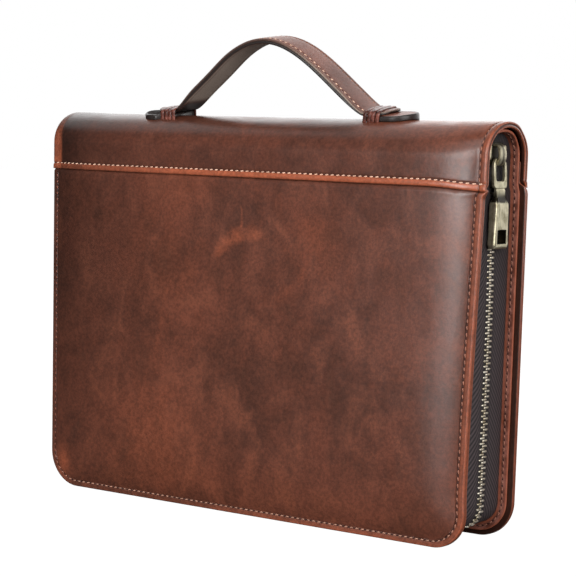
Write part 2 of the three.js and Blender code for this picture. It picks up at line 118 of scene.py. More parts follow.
# The set that the leather has taken, in millimetres: the left end flares out towards the spine, the spine
# rises to the right, the band's lower right corner sags, the front cover is drawn in at its right edge by
# an amount at the spine and another at the foot, of which the lowest corner keeps a share, the band's
# back end is drawn in, and the back cover's right corner curls up
LEFT_FLARE = 2.4
SPINE_TILT = 0.65
BAND_SAG = 1.5
FRONT_DRAW = {"spine": 1.5, "foot": 3.2, "corner_share": 0.55}
BACK_DRAW = 1.0
CORNER_CURL = 0.5
# Where each of those moves fades in or out: the ones named along are shares of the case's half width,
# and the others are in millimetres
SET_ZONES = {
    "spine_height": (150.0, 188.0),
    "from_middle": (6.0, 15.0),
    "sag_along": (0.78, 1.0),
    "sag_foot": (140.0, 160.0),
    "sag_head": (166.0, 186.0),
    "draw_height": (50.0, 175.0),
    "draw_corner": (0.0, 28.0),
    "front_along": (0.5, 0.98),
    "front_head": (163.0, 167.0),
    "back_along": (0.8, 0.98),
    "back_foot": (163.0, 168.0),
    "curl_from": (50.0, 115.0),
    "curl_behind": (3.0, 15.0),
    "curl_height": (0.0, 45.0),
}

# The handle, in millimetres: how far the front edge of its bound ends bends down to the spine, how far
# the left end lies lower in front and behind, where these two fade in along the handle, how far the
# strap's tips curl up, and how far its left leg sways
FRONT_BEND = 0.85
LEFT_DROP = {"front": 0.5, "back": 1.4}
BOUND_FROM = (44.0, 58.0)
TONGUE_CURL = 0.5
STRAP_SWAY = {"from": 20.0, "run": 42.0, "by": 0.6}

# Stitch lines, in millimetres from the edge that each one follows, and the covers' border on each side as
# a share of its width
COVER_STITCH = 4.0
BORDER_SHARES = {"right": 0.9, "bottom": 0.72, "left": 0.62}
BAND_STITCH = 3.1
END_STITCH = 3.4
STRAP_STITCH = 2.8
FACING_STITCH = 2.2
# The line where the two plies of a border part, from its edge
PLY_LINE = 1.4
# The padding's shoulder and the rounding of its corners, the stitched channels, in millimetres, and the
# share of their depth that the channels keep at the left ends of the band and the covers
SHOULDER = 11.5
CORNER_SOFT = 5.7
GROOVE_DEPTH = 0.3
GROOVE_HALF = 0.5
LEFT_CHANNEL = {"band": 0.25, "cover": 0.1}


# Plain arithmetic on arrays


def lerp(a, b, t):
    return a + (b - a) * t


def smoothstep(x, a, b):
    t = np.clip((x - a) / (b - a), 0.0, 1.0)
    return t * t * (3.0 - 2.0 * t)


def unit(vectors):
    return vectors / np.linalg.norm(vectors, axis=-1, keepdims=True)


def bell(distance, reach):
    """A bell curve: 1 at no distance, and fading over a reach."""
    return np.exp(-((distance / reach) ** 2))


def greatest(*values):
    """The greatest of several arrays at each place."""
    return functools.reduce(np.maximum, values)


def signed_power(values, power):
    """A power of the size of each value, with the value's own sign."""
    return np.sign(values) * np.abs(values) ** power


def points_of(x, y, z):
    """Points from three arrays that broadcast together."""
    return np.stack(np.broadcast_arrays(x, y, z), axis=-1)


def mm(name):
    """A size from the panel, in millimetres."""
    return getattr(bpy.context.scene.case_sizes, name) / MM


# The case's surfaces


def half_width(z):
    """Half the case's width: it flares evenly from foot to spine."""
    return CASE_WIDTH / 2 * (1 + SIDE_FLARE * (z / SPINE_TOP - 0.5))


def half_depth(z):
    """Half the case's depth over its borders: it tapers evenly from foot to arch."""
    return lerp(DEPTH_FOOT, DEPTH_SPINE, np.minimum(z / ARCH_FOOT, 1)) / 2


def swell(inset):
    """Rise of the padding over the border: steepest at the border, it levels out exponentially."""
    return mm("padding") * (1 - np.exp(-np.maximum(inset - BORDER, 0) / SHOULDER))


def soft_least(first, second):
    """The lesser of two distances, rounded where they are alike: minus the logarithm of the sum of
    falling powers."""
    return -CORNER_SOFT * np.log(np.exp(-first / CORNER_SOFT) + np.exp(-second / CORNER_SOFT))


def groove(distance):
    """Depth of a stitched channel at a distance from its middle: a bell curve."""
    return GROOVE_DEPTH * bell(distance, GROOVE_HALF)


def tuck(z):
    """Dip of a cover where it passes under the band."""
    depth = BAND_THICK + CLEAR - BAND_PROUD
    return depth * smoothstep(z, BAND_EDGE + 2 * CLEAR - TUCK_LENGTH, BAND_EDGE + 2 * CLEAR)


def ripple(x, z):
    """Slow unevenness of the padded leather: two crossed sine waves, from -1 to 1."""
    return np.sin(x / 21 + z / 47 + 0.7) * np.sin(z / 26 - x / 61 + 1.9)


RIGHT, RIGHT_CORNER, BOTTOM, LEFT_CORNER, LEFT, TOP = range(6)


def edge_marks(counts):
    """Marks round an edge: the stretch that each lies on, and its share of that stretch."""
    stretch = np.repeat(np.arange(len(counts)), counts)
    share = np.concatenate([np.arange(count) / count for count in counts])
    return stretch, share


def zip_dip(z):
    """How far the zip is drawn in from the covers' edge: a smooth step up each side."""
    return ZIP_DIP * smoothstep(z, DIP_FOOT, DIP_TOP)


def edge_line(inset, stretch, share, right_top, left_top, dip=0.0):
    """Places on a line inside a cover's edge: down the right side, round a quarter circle, along the
    bottom, round a quarter circle, up the left side and back along the top. The corners turn sharp where
    the inset passes their radius. dip is the share of the zip's dip that the line follows."""
    level = np.maximum(CORNER_RADIUS, inset)
    radius = np.maximum(CORNER_RADIUS - inset, 0)
    reach = half_width(level) - inset - radius
    turn = share * np.pi / 2
    down = lerp(right_top, level, share)
    up = lerp(level, left_top, share)
    here = [stretch == name for name in range(6)]
    x = np.select(here, [
        half_width(down) - inset - dip * zip_dip(down),
        reach + radius * np.cos(turn),
        reach * (1 - 2 * share),
        -reach - radius * np.sin(turn),
        inset - half_width(up) + dip * zip_dip(up),
        (half_width(left_top) - inset) * (2 * share - 1),
    ])
    z = np.select(here, [
        down,
        level - radius * np.sin(turn),
        level - radius,
        level - radius * np.cos(turn),
        up,
        left_top + 0 * share,
    ])
    return x, z


def along_edge(stretch, share, right, bottom, left):
    """A value round a cover's edge from its values on the three free sides: it changes evenly round the
    corners and along the top."""
    here = [stretch == name for name in range(6)]
    steps = [
        right, lerp(right, bottom, share), bottom, lerp(bottom, left, share), left, lerp(left, right, share)
    ]
    return np.select(here, [step + 0 * share for step in steps])


def border_narrowing(inset, stretch, share):
    """The inset with its border drawn in where the stitches run closer to the edge."""
    taken = (1 - along_edge(stretch, share, **BORDER_SHARES)) * np.minimum(inset, BORDER)
    return inset - taken * (1 - smoothstep(inset, BORDER, CORNER_RADIUS - 1))


def band_out(inset, angle):
    """How far the band stands out: its padding fades towards the top, where the spine sags instead."""
    sag = SPINE_SAG * smoothstep(inset, BORDER, SAG_RUN)
    return BAND_PROUD + lerp(swell(inset), -sag, np.sin(angle))


def band_point(u, v, sink):
    """Point of the spine band. u runs from the left end, -1, to the right end, 1. v runs up the front leg
    from 0 to 1, over the arch to 2 and down the back leg to 3. sink is the depth under the outer face."""
    inset = CASE_WIDTH / 2 * (1 - np.abs(u))
    angle = np.clip(v - 1, 0, 1) * np.pi
    climb = np.clip(np.minimum(v, 3 - v), 0, 1) * BAND_LEG
    end_channel = groove(inset - END_STITCH) * np.where(u > 0, 1.0, LEFT_CHANNEL["band"])
    channel = np.maximum(groove(climb - BAND_STITCH), end_channel)
    hem = HEM * (1 - smoothstep(climb, 1.8, 3.4))
    out = band_out(inset, angle) + hem - channel - sink
    foot = BAND_EDGE + climb
    z = foot + (ARCH_RISE + out) * np.sin(angle)
    y = -(half_depth(foot) + out) * np.cos(angle)
    return points_of(u * half_width(z), y, z)


def settle(points):
    """Points moved to the set that the leather has taken. The left flare grows with the square of the
    distance to the left and with the height, and the other moves fade in smoothly near the edges that
    they belong to."""
    x, y, z = points.T
    side = x / (CASE_WIDTH / 2)

    def fade(value, zone):
        return smoothstep(value, *SET_ZONES[zone])

    flare = LEFT_FLARE * np.clip(-side, 0, 1) ** 2 * z / SPINE_TOP
    tilt = SPINE_TILT * side * fade(z, "spine_height")
    front, back = fade(-y, "from_middle"), fade(y, "from_middle")
    sag = BAND_SAG * fade(side, "sag_along") * front * fade(z, "sag_foot") * (1 - fade(z, "sag_head"))
    inwards = lerp(FRONT_DRAW["foot"], FRONT_DRAW["spine"], fade(z, "draw_height"))
    inwards = inwards * lerp(FRONT_DRAW["corner_share"], 1.0, fade(z, "draw_corner"))
    draw = inwards * fade(side, "front_along") * front * (1 - fade(z, "front_head"))
    draw = draw + BACK_DRAW * fade(side, "back_along") * back * fade(z, "back_foot")
    curl = CORNER_CURL * fade(x, "curl_from") * fade(y, "curl_behind") * (1 - fade(z, "curl_height"))
    return points_of(x - flare - draw, y, z + tilt + curl - sag)


def handle_foot():
    """Height of the tabs' foot: they lean with the handle and clear the spine where its arch has the same
    slope."""
    lean = math.atan2(half_depth(ARCH_FOOT) * math.sin(HANDLE_LEAN), ARCH_RISE * math.cos(HANDLE_LEAN))
    touch = band_point(0.0, 1 + (math.pi / 2 - lean) / math.pi, 0.0)
    return touch[2] - touch[1] * math.tan(HANDLE_LEAN) + CLEAR


def front_bend(y):
    """How far the handle's bound ends bend down at a place across them: by the square of the distance in
    front."""
    return FRONT_BEND * np.clip(-y / (STRAP_WIDTH / 2), 0, 1.2) ** 2


def handle_place(points):
    """Points of the handle from its own upright frame to the case: bent and lowered where they are bound
    down, and turned by the handle's lean about the foot of its tabs."""
    x, y, z = np.moveaxis(points, -1, 0)
    bound = smoothstep(np.abs(x), *BOUND_FROM)
    drop = lerp(LEFT_DROP["front"], LEFT_DROP["back"], np.clip(y / STRAP_WIDTH + 0.5, 0, 1)) * (x < 0)
    z = z - bound * (front_bend(y) + drop)
    cos, sin = math.cos(HANDLE_LEAN), math.sin(HANDLE_LEAN)
    return points_of(x + HANDLE_CENTRE, y * cos - z * sin, y * sin + z * cos + handle_foot())


def spine_below(y):
    """Height of the spine's face under places across the handle, in the handle's own frame: its outline
    is turned back by the lean, read off between its points, and raised by the bend in front."""
    face = band_point(0.0, np.linspace(1.0, 2.0, 200), 0.0) - [0.0, 0.0, handle_foot()]
    cos, sin = math.cos(HANDLE_LEAN), math.sin(HANDLE_LEAN)
    across, height = face[:, 1] * cos + face[:, 2] * sin, face[:, 2] * cos - face[:, 1] * sin
    return np.interp(y, across, height) + front_bend(y)


def strap_height(x):
    """Height of the strap's middle line over the foot of its tabs: a cosine arch raised to a power, with
    curled-up ends. A product of two sine waves sways its left leg."""
    arch = ((1 + np.cos(np.pi * np.minimum(np.abs(x) / HANDLE_HALF_SPAN, 1))) / 2) ** HANDLE_FULLNESS
    rise = (HANDLE_RISE - STRAP_THICK / 2 - STRAP_MIDDLE) * arch
    curl = TONGUE_CURL * (np.maximum(0, np.abs(x) - WRAP_END) / (TONGUE_END - WRAP_END)) ** 2
    sway = np.clip((-x - STRAP_SWAY["from"]) / STRAP_SWAY["run"], 0, 1) * np.pi
    return STRAP_MIDDLE + rise + curl - STRAP_SWAY["by"] * np.sin(sway) * np.sin(2 * sway)


def strap_line(x):
    """The strap's middle line at distances from the handle's middle, with its normal, in the handle's own
    frame."""
    middle = points_of(x, 0.0, strap_height(x))
    slope = np.gradient(middle[:, 2], x)
    return middle, unit(points_of(-slope, 0.0, 1.0))


def strap_thickness(x):
    """The strap's thickness: it is thinned where the thong binds it, and further towards its two ends."""
    bound = smoothstep(np.abs(x), HANDLE_HALF_SPAN - THINNING, HANDLE_HALF_SPAN)
    tip = smoothstep(np.abs(x), WRAP_END, TONGUE_END)
    return lerp(lerp(STRAP_THICK, STRAP_END, bound), TONGUE_TIP, tip)


def strap_half_width(x):
    """Half the strap's width: even, and drawn in to a quarter circle on both sides at its round ends."""
    short = np.maximum(0, TONGUE_ROUND - (TONGUE_END - np.abs(x)))
    return STRAP_WIDTH / 2 - (TONGUE_ROUND - np.sqrt(TONGUE_ROUND**2 - short**2))


# Meshes from arrays


def grid_faces(rows, columns, close_rows=False, close_columns=False):
    """Quads of a grid that is stored row by row. A closed way joins its last line to its first."""
    index = np.arange(rows * columns).reshape(rows, columns)
    if close_rows:
        index = np.vstack([index, index[:1]])
    if close_columns:
        index = np.hstack([index, index[:, :1]])
    corners = [index[:-1, :-1], index[1:, :-1], index[1:, 1:], index[:-1, 1:]]
    return np.stack(corners, axis=-1).reshape(-1, 4)


def grid_part(points, **closed):
    """A grid of points as a list of points and its quads."""
    rows, columns = points.shape[:2]
    return points.reshape(-1, 3), grid_faces(rows, columns, **closed)


def join_parts(*parts):
    """Several lists of points and quads as one."""
    starts = np.cumsum([0] + [len(points) for points, _ in parts])
    points = np.concatenate([points for points, _ in parts])
    faces = np.concatenate([faces + start for (_, faces), start in zip(parts, starts)])
    return points, faces


def copies(form, origins, axes):
    """One form repeated: each copy's own axes turn it, and its origin places it."""
    points, faces = form
    count = len(origins)
    placed = origins[:, None, :] + np.einsum("nai,pa->npi", axes, points)
    shifted = faces[None] + (np.arange(count) * len(points))[:, None, None]
    return placed.reshape(-1, 3), shifted.reshape(-1, 4)


def build_piece(
    name, part, material, nodes=(), body="case", layers=None, uv=None, crease=None, soft=True
):
    """Makes a mesh object in metres, closes its seams and poles by merging doubles, turns its faces
    outwards, hangs it on what carries it, gives it its finish and hides the solids that it stands for. Soft
    pieces take the leather's set."""
    points, faces = part
    points = settle(points) if soft else points
    mesh = bpy.data.meshes.new(name)
    mesh.vertices.add(len(points))
    mesh.vertices.foreach_set("co", (points * MM).ravel())
    mesh.loops.add(faces.size)
    mesh.loops.foreach_set("vertex_index", faces.ravel().astype(np.int32))
    mesh.polygons.add(len(faces))
    mesh.polygons.foreach_set("loop_start", np.arange(0, faces.size, 4, dtype=np.int32))
    mesh.update(calc_edges=True)
    for layer, values in (layers or {}).items():
        attribute = mesh.attributes.new(layer, "FLOAT", "POINT")
        attribute.data.foreach_set("value", np.broadcast_to(values, len(points)).astype(np.float32))
    if uv is not None:
        mesh.uv_layers.new(name="Surface").data.foreach_set("uv", uv[faces.ravel()].ravel())
    work = bmesh.new()
    work.from_mesh(mesh)
    bmesh.ops.remove_doubles(work, verts=work.verts, dist=2e-6)
    bmesh.ops.dissolve_degenerate(work, edges=work.edges, dist=1e-7)
    bmesh.ops.recalc_face_normals(work, faces=work.faces)
    work.to_mesh(mesh)
    work.free()
    mesh.polygons.foreach_set("use_smooth", np.ones(len(mesh.polygons), dtype=bool))
    if crease is not None:
        mesh.set_sharp_from_angle(angle=math.radians(crease))
    mesh.materials.append(material)
    piece = bpy.data.objects.new(name, mesh)
    bpy.context.scene.collection.objects.link(piece)
    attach(piece, body)
    if nodes:
        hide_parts(*nodes)
    return piece


# Stitches


def evenly(path, normals, pitch, phase=0.5):
    """Marks at an even pitch along a path: their places, the path's direction, sideways direction and
    normal there, and how far along they lie as a share of the path's points."""
    steps = np.linalg.norm(np.diff(path, axis=0), axis=1)
    run = np.concatenate([[0.0], np.cumsum(steps)])
    count = int(run[-1] // pitch)
    marks = (np.arange(count) + phase) * run[-1] / count
    ways = np.gradient(path, run, axis=0)

    def at(table):
        return np.stack([np.interp(marks, run, table[:, axis]) for axis in range(3)], axis=1)

    along = unit(at(ways))
    normal = unit(at(normals))
    sideways = unit(np.cross(normal, along))
    share = np.interp(marks, run, np.linspace(0, 1, len(run)))
    return at(path), np.stack([along, sideways, np.cross(along, sideways)], axis=1), share


# A stitch: its rings and sides, its slant to its line, its height as a share of its width and how far it
# stands out, in millimetres, and the flat disc of painted shade that stands for the needle hole at its end
STITCH_RINGS = 7
STITCH_SIDES = 8
STITCH_SLANT = math.radians(9)
STITCH_HEIGHT = 0.42
STITCH_PROUD = 0.03
NEEDLE_HOLE_SHADE = {"length": 1.2, "width": 0.78, "height": 0.16}


def stitch_form(length, width, height):
    """A stitch: an ellipse carried along its length, full in the middle and closed at both ends, which dip
    into the leather. It lies at a small slant to its line. The painted shade of a needle hole has the same
    form, wide and flat."""
    along = np.sin(np.linspace(-np.pi / 2, np.pi / 2, STITCH_RINGS))[:, None]
    turn = np.arange(STITCH_SIDES) / STITCH_SIDES * 2 * np.pi
    fullness = np.sqrt(1 - along**2) ** 0.7
    x = along * length / 2
    y = fullness * np.cos(turn) * width / 2
    z = fullness * np.sin(turn) * height - 0.5 * height * along**2
    cos, sin = math.cos(STITCH_SLANT), math.sin(STITCH_SLANT)
    return grid_part(points_of(cos * x - sin * y, sin * x + cos * y, z), close_columns=True)


def sew(name, lines):
    """Builds the stitches along several lines, each with its path, its normals and its tone from rust, 0,
    to pale, 1, and between them flat discs painted dark as the shade of the needle holes. The tone may
    change along a line."""
    length, width = mm("stitch_length"), mm("stitch_width")
    thread_form = stitch_form(length, width, STITCH_HEIGHT * width)
    hole_shade_form = stitch_form(NEEDLE_HOLE_SHADE["length"], NEEDLE_HOLE_SHADE["width"], NEEDLE_HOLE_SHADE["height"])
    size = len(thread_form[0])
    parts, tones, holes = [], [], []
    for path, normals, tone in lines:
        for form, phase, hole in ((thread_form, 0.5, 0.0), (hole_shade_form, 0.0, 1.0)):
            origins, axes, share = evenly(path, normals, mm("stitch_pitch"), phase)
            parts.append(copies(form, origins + STITCH_PROUD * axes[:, 2], axes))
            tone_at = np.interp(share, np.linspace(0, 1, len(path)), np.broadcast_to(tone, len(path)))
            tones.append(np.repeat(tone_at, size))
            holes.append(np.full(len(origins) * size, hole))
    part = join_parts(*parts)
    along = np.repeat(np.linspace(0, length * MM, STITCH_RINGS), STITCH_SIDES)
    round_it = np.tile(np.arange(STITCH_SIDES) / STITCH_SIDES * math.pi * width * MM, STITCH_RINGS)
    uv = np.tile(np.stack([along, round_it], axis=1), (len(part[0]) // size, 1))
    layers = {"tone": np.concatenate(tones), "hole": np.concatenate(holes)}
    thread = ready("Waxed polyester thread, twisted", waxed_thread)
    return build_piece(name, part, thread, layers=layers, uv=uv)


# Materials


def linear(code):
    """An sRGB hex colour as linear red, green, blue and alpha."""
    channels = [int(code[i : i + 2], 16) / 255 for i in (1, 3, 5)]
    return [c / 12.92 if c <= 0.04045 else ((c + 0.055) / 1.055) ** 2.4 for c in channels] + [1.0]


def per_mm(size):
    """Texture scale at which a pattern repeats about once in a size given in millimetres."""
    return 1 / (size * MM)


def fill(tree, node, inputs):
    """Links or sets a node's inputs, given by name or number, or as a list in their order."""
    for key, value in inputs.items() if isinstance(inputs, dict) else enumerate(inputs):
        if isinstance(value, bpy.types.NodeSocket):
            tree.links.new(value, node.inputs[key])
        else:
            node.inputs[key].default_value = value


def add(tree, kind, inputs=(), output=0, **settings):
    """Adds a node with its settings and inputs, and gives one of its outputs."""
    node = tree.nodes.new("ShaderNode" + kind)
    for name, value in settings.items():
        setattr(node, name, value)
    fill(tree, node, inputs)
    return node.outputs[output]


# A wave texture repeats after this many units at scale 1
WAVE_LENGTH = math.pi / 10
# Settings of a smooth step from one value to another, and of a mix of two colours. A mix takes its share at
# input 0, two values at inputs 2 and 3, and two colours at inputs 6 and 7
SMOOTH = {"interpolation_type": "SMOOTHSTEP"}
COLOURS = {"data_type": "RGBA", "output": 2}


def new_material(name):
    """A new material with its node tree, its shader and the place on the object."""
    material = bpy.data.materials.new(name)
    material.use_nodes = True
    tree = material.node_tree
    return material, tree, tree.nodes["Principled BSDF"], add(tree, "TexCoord", output="Object")


def colour(name):
    """A colour from the panel, with its alpha."""
    return list(getattr(bpy.context.scene.case_colours, name)) + [1.0]


# Marks on the front cover: each is a stretch of a circle in the plane of the cover, in millimetres, with
# how much it pales the leather. Noise moves their lines by up to the wobble
SCRATCH_WOBBLE = 3.0
SCRATCHES = (
    {"middle": (5, 112), "radius": 29.0, "at": (-6.0, 138.5), "reach": 22.0, "width": 5.5, "pale": 0.6},
    {"middle": (-25, 147), "radius": 22.6, "at": (-2.4, 148.0), "reach": 7.5, "width": 1.2, "pale": 0.4},
    {"middle": (11, 138), "radius": 29.0, "at": (37.0, 125.0), "reach": 34.0, "width": 3.6, "pale": 0.2},
    {"middle": (120, 60), "radius": 175.0, "at": (-52.0, 90.0), "reach": 40.0, "width": 3.0, "pale": 0.22},
)


def scratch_mask(tree, spot, scratch):
    """How strongly a scratch shows at a place: near its circle, and near the middle of its stretch."""
    middle, at = ((scratch[key][0] * MM, scratch[key][1] * MM, 0.0) for key in ("middle", "at"))
    to_middle, apart = (
        add(tree, "VectorMath", [spot, point], "Value", operation="DISTANCE") for point in (middle, at)
    )
    off = add(tree, "Math", [to_middle, scratch["radius"] * MM], operation="SUBTRACT")
    off = add(tree, "Math", [off], operation="ABSOLUTE")
    line = add(tree, "MapRange", [off, 0.0, scratch["width"] * MM, 1.0, 0.0], **SMOOTH)
    reach = scratch["reach"] * MM
    near = add(tree, "MapRange", [apart, reach * 0.5, reach, scratch["pale"], 0.0], **SMOOTH)
    return add(tree, "Math", [line, near], operation="MULTIPLY")


def all_scratches(tree, place):
    """The strongest of the front cover's scratches at a place, with unsteady, broken lines."""
    wobble = add(tree, "TexNoise", {"Vector": place, "Scale": per_mm(7), "Detail": 4.0}, "Color")
    moved = add(tree, "VectorMath", [wobble, (SCRATCH_WOBBLE * MM,) * 3, place], operation="MULTIPLY_ADD")
    parts = add(tree, "SeparateXYZ", [moved]).node.outputs
    spot = add(tree, "CombineXYZ", {"X": parts["X"], "Y": parts["Z"]})
    strongest = 0.0
    for scratch in SCRATCHES:
        strongest = add(tree, "Math", [scratch_mask(tree, spot, scratch), strongest], operation="MAXIMUM")
    cloud = add(tree, "TexNoise", {"Vector": place, "Scale": per_mm(4.5), "Detail": 4.0, "Roughness": 0.6})
    gaps = add(tree, "MapRange", [cloud, 0.36, 0.6, 0.5, 1.0], **SMOOTH)
    broken = add(tree, "Math", [strongest, gaps], operation="MULTIPLY")
    in_front = add(tree, "Math", [parts["Y"], 0.0], operation="LESS_THAN")
    return add(tree, "Math", [broken, in_front], operation="MULTIPLY")


def pull_up_leather(name, scratched):
    """Waxed pull-up cowhide, dry drummed: cloudy chocolate brown that goes to rust where the wax has moved
    and to orange where it is bent, rubbed or scratched, with a broad soft sheen. The attribute rub pales it
    where it is rubbed, and as a painted sheen on the band's right crest; burnish darkens it to the edge
    colour as painted shade."""
    material, tree, shader, place = new_material(name)
    upright = add(tree, "Mapping", {"Vector": place, "Scale": (1.0, 1.0, 0.75)})
    cloud = add(tree, "TexNoise", {"Vector": place, "Scale": per_mm(52), "Detail": 4.0, "Roughness": 0.6})
    fibre = add(tree, "TexNoise", {"Vector": upright, "Scale": per_mm(7), "Detail": 6.0, "Roughness": 0.64})
    inputs = {"Vector": upright, "Scale": per_mm(20), "Detail": 5.0, "Roughness": 0.6, "Distortion": 0.8}
    patch = add(tree, "TexNoise", inputs)
    grain = add(tree, "TexNoise", {"Vector": place, "Scale": per_mm(1.7), "Detail": 5.0, "Roughness": 0.75})
    pores = add(tree, "TexVoronoi", {"Vector": place, "Scale": per_mm(0.8)}, "Distance")
    tone = add(tree, "Mix", {0: 0.4, 2: cloud, 3: fibre})
    tone = add(tree, "MapRange", [tone, 0.36, 0.64, 0.0, 1.0], **SMOOTH)
    moved_wax = add(tree, "MapRange", [patch, 0.48, 0.74, 0.0, 0.7], **SMOOTH)
    thick_wax = add(tree, "MapRange", [patch, 0.28, 0.46, 0.3, 0.0], **SMOOTH)
    rub = add(tree, "Attribute", output="Fac", attribute_name="rub")
    if scratched:
        rub = add(tree, "Math", [rub, all_scratches(tree, place)], operation="MAXIMUM")
    uneven = add(tree, "MapRange", [fibre, 0.3, 0.64, 0.62, 1.0], **SMOOTH)
    worn = add(tree, "Math", [rub, uneven], operation="MULTIPLY")
    # Painted shade: darkens the leather to the edge colour in stitched channels, creases, inner faces,
    # under the band's lip and towards the left end
    burnish = add(tree, "Attribute", output="Fac", attribute_name="burnish")
    base = colour("leather_dark")
    for share, over in (
        (tone, "leather"), (moved_wax, "rust"), (thick_wax, "umber"), (worn, "worn"), (burnish, "edge")
    ):
        base = add(tree, "Mix", {0: share, 6: base, 7: colour(over)}, **COLOURS)
    shade = add(tree, "MapRange", [grain, 0.36, 0.64, 0.78, 1.22], **SMOOTH)
    fine = add(tree, "Mix", {0: 0.6, 2: pores, 3: grain})
    fine = add(tree, "Bump", {"Height": fine, "Strength": 0.22, "Distance": 0.12 * MM})
    coarse = {"Height": fibre, "Strength": 0.18, "Distance": 0.4 * MM, "Normal": fine}
    fill(tree, shader, {
        "Base Color": add(tree, "VectorMath", {0: base, "Scale": shade}, operation="SCALE"),
        "Roughness": add(tree, "MapRange", [patch, 0.3, 0.7, 0.28, 0.36], **SMOOTH),
        "Normal": add(tree, "Bump", coarse),
        "Specular IOR Level": 0.55,
    })
    return material


def strap_leather(name):
    """The handle's doubled strap: waxed leather on top, glossy dark edge paint along its cut edges, and the
    bare fibrous flesh side underneath. The attributes rub, paint and flesh say where each shows, and paint
    over flesh is matt. The paint also serves as painted shade on the underside near the strap's feet and on
    the left tab's top."""
    material, tree, shader, place = new_material(name)
    cloud = add(tree, "TexNoise", {"Vector": place, "Scale": per_mm(16), "Detail": 6.0, "Roughness": 0.66})
    grain = add(tree, "TexNoise", {"Vector": place, "Scale": per_mm(0.8), "Detail": 3.0, "Roughness": 0.6})
    tone = add(tree, "MapRange", [cloud, 0.35, 0.65, 0.0, 1.0], **SMOOTH)
    rub, flesh, paint = (
        add(tree, "Attribute", output="Fac", attribute_name=layer) for layer in ("rub", "flesh", "paint")
    )
    base = colour("strap_dark")
    for share, over in ((tone, "strap"), (rub, "worn"), (flesh, "flesh"), (paint, "edge_paint")):
        base = add(tree, "Mix", {0: share, 6: base, 7: colour(over)}, **COLOURS)
    shade = add(tree, "MapRange", [grain, 0.3, 0.7, 0.87, 1.12], **SMOOTH)
    gloss = add(tree, "Mix", {0: paint, 2: 0.45, 3: 0.4})
    matt = add(tree, "Math", [flesh, paint], operation="MULTIPLY")
    fill(tree, shader, {
        "Base Color": add(tree, "VectorMath", {0: base, "Scale": shade}, operation="SCALE"),
        "Roughness": add(tree, "Mix", {0: flesh, 2: gloss, 3: 0.85}),
        "Normal": add(tree, "Bump", {"Height": grain, "Strength": 0.3, "Distance": 0.12 * MM}),
        "Specular IOR Level": add(tree, "Mix", {0: matt, 2: 0.5, 3: 0.12}),
    })
    return material


def plain_leather(name, deep, pale, size, roughness):
    """Split cowhide cut in strips, dyed through: two close tones in small clouds, with a soft fibrous
    relief. The attribute rub pales it at its edges."""
    material, tree, shader, place = new_material(name)
    inputs = {"Vector": place, "Scale": per_mm(size), "Detail": 5.0, "Roughness": 0.65}
    cloud = add(tree, "TexNoise", inputs)
    tone = add(tree, "MapRange", [cloud, 0.34, 0.66, 0.0, 1.0], **SMOOTH)
    base = add(tree, "Mix", {0: tone, 6: colour(deep), 7: colour(pale)}, **COLOURS)
    rub = add(tree, "Attribute", output="Fac", attribute_name="rub")
    fill(tree, shader, {
        "Base Color": add(tree, "Mix", {0: rub, 6: base, 7: colour("worn")}, **COLOURS),
        "Roughness": roughness,
        "Normal": add(tree, "Bump", {"Height": cloud, "Strength": 0.4, "Distance": 0.2 * MM}),
    })
    return material


def waxed_thread(name):
    """Waxed polyester thread, twisted: plies that wind round each stitch, with painted shade in the valleys
    between them. The attribute tone goes from rust to pale, and hole marks the needle holes' discs, dark
    with painted shade."""
    material, tree, shader, place = new_material(name)
    surface = add(tree, "UVMap", uv_map="Surface")
    turned = add(tree, "Mapping", {"Vector": surface, "Rotation": (0.0, 0.0, math.radians(35))})
    # A ply is 0.35 mm wide on the real thread, and is drawn at 0.6 mm so that it shows
    ply = add(tree, "TexWave", {"Vector": turned, "Scale": per_mm(0.6) * WAVE_LENGTH}, "Fac")
    cloud = add(tree, "TexNoise", {"Vector": place, "Scale": per_mm(9), "Detail": 4.0, "Roughness": 0.6})
    tone, hole = (add(tree, "Attribute", output="Fac", attribute_name=layer) for layer in ("tone", "hole"))
    base = add(tree, "Mix", {0: tone, 6: colour("thread_rust"), 7: colour("thread")}, **COLOURS)
    # Painted shade in the valleys between the plies, then the whole thread made brighter
    for shade in (add(tree, "Mix", {0: 0.6, 2: ply, 3: cloud}), 1.7):
        base = add(tree, "VectorMath", {0: base, "Scale": shade}, operation="SCALE")
    fill(tree, shader, {
        # Painted shade: the needle holes' discs take the dark hole colour
        "Base Color": add(tree, "Mix", {0: hole, 6: base, 7: colour("hole")}, **COLOURS),
        "Roughness": 0.6,
        "Normal": add(tree, "Bump", {"Height": ply, "Strength": 0.4, "Distance": 0.1 * MM}),
    })
    return material


def zip_twill(name):
    """Polyester zip tape woven in a twill: dark ribs that run aslant, with painted shade in their valleys
    and a painted dull lustre on their crests. The attribute shade adds painted shade up in the spine and
    behind the teeth."""
    material, tree, shader, _ = new_material(name)
    surface = add(tree, "UVMap", uv_map="Surface")
    turned = add(tree, "Mapping", {"Vector": surface, "Rotation": (0.0, 0.0, math.radians(54))})
    # A rib is 0.6 mm wide, and is drawn at 1.7 mm so that it shows
    inputs = {"Vector": turned, "Scale": per_mm(1.7) * WAVE_LENGTH, "Distortion": 1.2, "Detail": 3.0}
    rib = add(tree, "TexWave", inputs, "Fac")
    shade = add(tree, "Attribute", output="Fac", attribute_name="shade")
    # Painted shade and lustre: the ribs' valleys are darker and their crests lighter
    base = add(tree, "Mix", {0: rib, 6: colour("tape_dark"), 7: colour("tape")}, **COLOURS)
    fill(tree, shader, {
        "Base Color": add(tree, "Mix", {0: shade, 6: base, 7: colour("tape_dark")}, **COLOURS),
        "Roughness": 0.75,
        "Normal": add(tree, "Bump", {"Height": rib, "Strength": 0.4, "Distance": 0.15 * MM}),
    })
    return material


